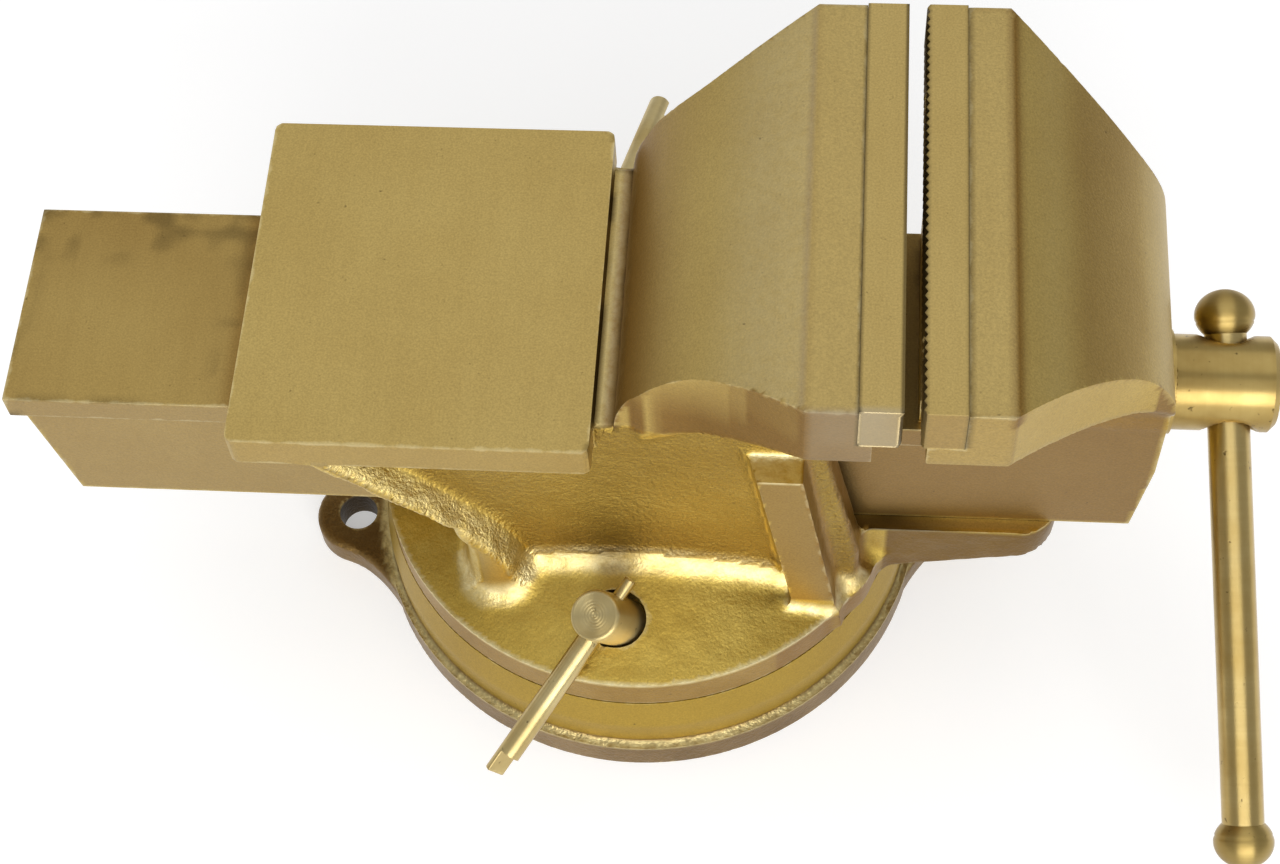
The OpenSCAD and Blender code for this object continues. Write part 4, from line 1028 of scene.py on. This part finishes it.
def makeTurned(name, local, faces, origin, frameAxes, body, node, material, crease=38):
    # Carries the place on the lathe: radius, height and a little of the angle, and a map that runs round
    mesh = newMesh(name, local @ frameAxes + np.asarray(origin), faces)
    mesh.set_sharp_from_angle(angle=math.radians(crease))
    u, v, height = local.T
    turning = np.stack([np.hypot(u, v), height, 0.04 * u + 0.03 * v], axis=1) * mm
    layer = mesh.attributes.new("turning", "FLOAT_VECTOR", "POINT")
    layer.data.foreach_set("vector", turning.astype(np.float32).ravel())
    corner = np.zeros(len(mesh.loops), np.int32)
    mesh.loops.foreach_get("vertex_index", corner)
    around = np.column_stack([(turning[:, 1] - turning[:, 0]) * 4, np.arctan2(v, u) / 7 + 0.5])
    mesh.uv_layers.new(name="lathe").data.foreach_set("uv", around[corner].astype(np.float32).ravel())
    addPiece(name, mesh, body, node, material)


spindleSizes = dict(
    height=111, thread=23.8, pitch=6.0, rear=-150, threadEnd=130.8, threadStep=0.6, threadCount=56,
    threadDepth=2.9, journal=24, shoulder=178, head=32, headRound=0.8, front=212.5, handlePlace=197,
    handleHole=16.8, headStep=1.0, chamfer=2.2, saddle=1.8)
handleSizes = dict(
    direction=(0.069756, -0.8639, -0.4988), low=-23.92, high=154.08, bar=14, knob=20, knobFlat=0.87,
    seam=0.35, seamPlace=0.22)
spindleAxes = axesAlong((1, 0, 0))


def threadSurface(s):
    # A helical ridge: the radius at each height and angle follows a rounded wave of the height less the turn
    height = np.arange(s.rear, s.threadEnd + s.threadStep / 2, s.threadStep)
    angle = np.linspace(0, 2 * np.pi, s.threadCount, endpoint=False)
    groove = smoothStep(0.28, 0.72, zigzag(height[:, None] / s.pitch - angle[None] / (2 * np.pi)))
    fade = smoothStep(s.rear + 1, s.rear + 5, height) * smoothStep(s.threadEnd, s.threadEnd - 5, height)
    point = smoothStep(s.rear + 4, s.rear, height)[:, None] * 0.8
    radius = s.thread / 2 - s.threadDepth * np.maximum(groove * fade[:, None], point)
    along = np.broadcast_to(height[:, None], radius.shape)
    rings = np.stack([radius * np.cos(angle), radius * np.sin(angle), along], axis=2)
    return closeRings(rings, height[0], height[-1])


def headField(u, v, t):   # the spindle's journal and head in its own axes: t runs along it
    s = Sizes(**spindleSizes)
    away = np.hypot(u, v)
    journal = np.maximum(away - s.journal / 2, slab(t, s.threadEnd - 0.5, s.shoulder + 3))
    head = meet(away - s.head / 2, slab(t, s.shoulder, s.front), s.headRound)
    head = np.maximum(head, (away - s.head / 2 + t - s.front + s.chamfer) * 0.7071)
    shape = join(journal, head, 0.6)
    _, fromHandle = fromAxis(u, v, t - s.handlePlace, spindleAxes @ np.asarray(handleSizes["direction"]))
    return cut(shape, fromHandle - s.handleHole / 2, s.saddle)


def makeSpindle(s):
    threadSpots, threadFaces = threadSurface(s)
    half = s.head / 2 + 2
    headSpots, headFaces = contour(
        headField, (-half, -half, s.threadEnd - 3), (half, half, s.front + 2), s.headStep)
    local = np.vstack([threadSpots, headSpots])
    faces = threadFaces + (headFaces + len(threadSpots)).tolist()
    makeTurned("spindlescrew", local, faces, (0, 0, s.height), spindleAxes, "screw", "spindle", spindleBronze)


def makeHandle(s):
    frameAxes = axesAlong(s.direction, (1, 0, 0))
    centre = np.array([spindleSizes["handlePlace"], 0, spindleSizes["height"]])
    bar = [(0, s.low), (s.bar / 2, s.low), (s.bar / 2, s.high), (0, s.high)]
    local, faces = lathe(fillRows(np.asarray(bar, float), 4.0), 56)
    makeTurned("handlebar", local, faces, centre, frameAxes, "handle", "handle_bar", shadedHandleBronze)
    r = s.knob / 2
    swing = np.radians(np.linspace(-90, 90, 46))
    rows = np.column_stack([r * np.cos(swing), r * np.sin(swing)])
    rows[:, 0] -= s.seam * bell(rows[:, 1] + s.seamPlace * r, s.seam)   # seam near the bar's side
    rows[:, 1] = s.knobFlat * rows[:, 1] - (1 - s.knobFlat) * r   # pressed flatter, towards the bar
    rows[[0, -1], 0] = 0
    local, faces = lathe(rows, 64)
    for end, place, out in (("upper", s.low, -1), ("lower", s.high, 1)):
        makeTurned("knob" + end, local, faces, centre + place * frameAxes[2],
                   frameAxes * np.array([[1], [out], [out]]), "handle", "handle_knob_" + end, shadedKnobBronze)


def lockScrew(s):
    # A turned screw with a rippled, slightly dished top; a helical thread is cut into its shank
    head, thread = s.head / 2, s.thread / 2
    corners = [(0, s.tip), (3.4, s.tip + 0.6), (6.1, s.tip + 2.4), (thread, s.shank), (thread, s.collar),
               (head, s.collar), (head, s.rise), (0, s.rise)]
    rows = softProfile(corners, [0, 0, 1.5, 0.3, 0.4, s.rim])
    face = np.linspace(1, 0, 40)[1:]
    ripple = 0.05 * np.cos(face * 2 * np.pi * 7) * smoothStep(0.85, 0.4, face)
    dish = np.column_stack([(head - s.rim) * face, s.rise - 0.06 + ripple - 0.15 * (1 - face ** 2)])
    local, faces = lathe(np.vstack([fillRows(rows[:-1], 0.4), dish]), 72)
    u, v, height = local.T
    groove = smoothStep(0.15, 0.85, zigzag(height / s.pitch - np.arctan2(v, u) / (2 * np.pi)))
    groove = groove * smoothStep(s.tip + 4, s.tip + 7, height)
    groove = groove * smoothStep(s.collar - 1.2, s.collar - 2.4, height)
    local[:, :2] *= (1 - s.threadDepth / thread * groove)[:, None]
    return local, faces


def lockBar(s, side):   # a bar with a thin tenon through the screw's head and a notched end
    def field(u, v, t):
        away = np.hypot(u, v)
        bar = meet(away - s.bar / 2, slab(t, s.barStart, s.barLength), 0.5)
        tenon = meet(away - s.tenon / 2, slab(t, -s.tail, s.barStart + 0.97), 0.4)
        notch = np.maximum(s.barLength - s.notch - t, 0.94 * v - 0.35 * u if side > 0 else u)
        return cut(join(bar, tenon, 0.3), notch, 0.4)

    half = s.bar / 2 + 1.5
    return contour(field, (-half, -half, -s.tail - 2), (half, half, s.barLength + 2), s.barStep)


def makeLock(s, end, side, lift, barTurn):
    seat, axis, down = lockAxis(side)
    seat = seat + axis * lift
    frameAxes = axesAlong(axis, down)
    makeTurned("lockscrew" + end, *lockScrew(s), seat, frameAxes,
               "lock_" + end, "lock_screw_" + end, litLockBronze)
    turn = np.radians(side * barTurn)
    barAxes = axesAlong(frameAxes[0] * np.cos(turn) + frameAxes[1] * np.sin(turn), axis)
    centre = seat + axis * (s.rise - s.barDepth)
    makeTurned("lockbar" + end, *lockBar(s, side), centre, barAxes,
               "lock_" + end, "lock_bar_" + end, litLockBronze)


makeSpindle(Sizes(**spindleSizes))
makeHandle(Sizes(**handleSizes))
makeLock(Sizes(**lockSizes), "front", 1, 0, lockSizes["frontTurn"])
makeLock(Sizes(**lockSizes), "rear", -1, lockSizes["rearLift"], lockSizes["rearTurn"])


# Camera at the photograph's place, lights, floor

cameraSetup = dict(
    place=(60.03, -435.21, 826.21), lens=69.69, sensor=36,
    right=(0.99701, 0.06375, -0.04366), up=(-0.03359, 0.86647, 0.49809), back=(0.06959, -0.49513, 0.86603))


def makeCamera(s):
    data = bpy.data.cameras.new("camera")
    data.lens = s.lens
    data.sensor_width = s.sensor
    data.clip_start, data.clip_end = 0.01, 50
    camera = bpy.data.objects.new("camera", data)
    turn = Matrix((s.right, s.up, s.back)).transposed().to_4x4()
    camera.matrix_world = Matrix.Translation(Vector(s.place) * mm) @ turn
    scene.collection.objects.link(camera)
    scene.camera = camera


studio = dict(
    worldLevel=0.48, floorColor=(0.72, 0.72, 0.72, 1), floorGlow=0.42, floorSize=24.0,
    lamps=[
        dict(name="overhead", place=(-0.1, 0.9, 2.3), aim=(0, 0.1, 0.1), size=(3.2, 2.6), level=0.62),
        dict(name="frontLow", place=(0.2, -1.75, 0.8), aim=(0, 0, 0.08), size=(2.0, 1.1), level=4.4),
        dict(name="frontTop", place=(0.1, -1.2, 1.9), aim=(0, 0, 0.08), size=(1.4, 1.0), level=0.8),
        dict(name="leftBack", place=(-1.9, 0.9, 1.0), aim=(0, 0, 0.1), size=(1.6, 1.2), level=0.35)])


def makeWorld(s):
    world = bpy.data.worlds.new("studio")
    world.use_nodes = True
    tree = world.node_tree
    tree.nodes.clear()
    background = addNode(tree, "ShaderNodeBackground", {"Color": (1, 1, 1, 1), "Strength": s.worldLevel})
    output = addNode(tree, "ShaderNodeOutputWorld")
    tree.links.new(background.outputs[0], output.inputs[0])
    scene.world = world


def makeLamp(name, place, aim, size, level):
    data = bpy.data.lights.new(name, "AREA")
    data.shape = "RECTANGLE"
    data.size, data.size_y = size
    data.energy = math.pi * data.size * data.size_y * level   # the level is what a mirror would show
    light = bpy.data.objects.new(name, data)
    light.location = place
    light.rotation_euler = (Vector(aim) - light.location).to_track_quat("-Z", "Y").to_euler()
    scene.collection.objects.link(light)


def floorMaterial(s):   # matte, with a glow that only the camera and reflections see
    material = bpy.data.materials.new("paleFloor")
    material.use_nodes = True
    tree = material.node_tree
    tree.nodes.clear()
    path = addNode(tree, "ShaderNodeLightPath").outputs
    shown = plus(tree, path["Is Camera Ray"], path["Is Glossy Ray"])
    shown = plus(tree, shown, path["Is Transmission Ray"], clamp=True)
    matte = addNode(tree, "ShaderNodeBsdfDiffuse", {"Color": s.floorColor})
    glow = addNode(tree, "ShaderNodeEmission", {"Strength": times(tree, shown, s.floorGlow)})
    both = addNode(tree, "ShaderNodeAddShader", {0: matte.outputs[0], 1: glow.outputs[0]})
    addNode(tree, "ShaderNodeOutputMaterial", {0: both.outputs[0]})
    return material


def makeFloor(s):
    half = s.floorSize / 2
    corners = [(-half, -half, 0), (half, -half, 0), (half, half, 0), (-half, half, 0)]
    mesh = bpy.data.meshes.new("floor")
    mesh.from_pydata(corners, [], [(0, 1, 2, 3)])
    mesh.materials.append(floorMaterial(s))
    floor = bpy.data.objects.new("floor", mesh)
    scene.collection.objects.link(floor)


makeCamera(Sizes(**cameraSetup))
makeWorld(Sizes(**studio))
for lamp in studio["lamps"]:
    makeLamp(**lamp)
makeFloor(Sizes(**studio))
scene.view_settings.view_transform = "Standard"
print("camera and studio set")

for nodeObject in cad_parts.values():
    nodeObject.data.materials.clear()
    nodeObject.data.materials.append(fittingBronze)
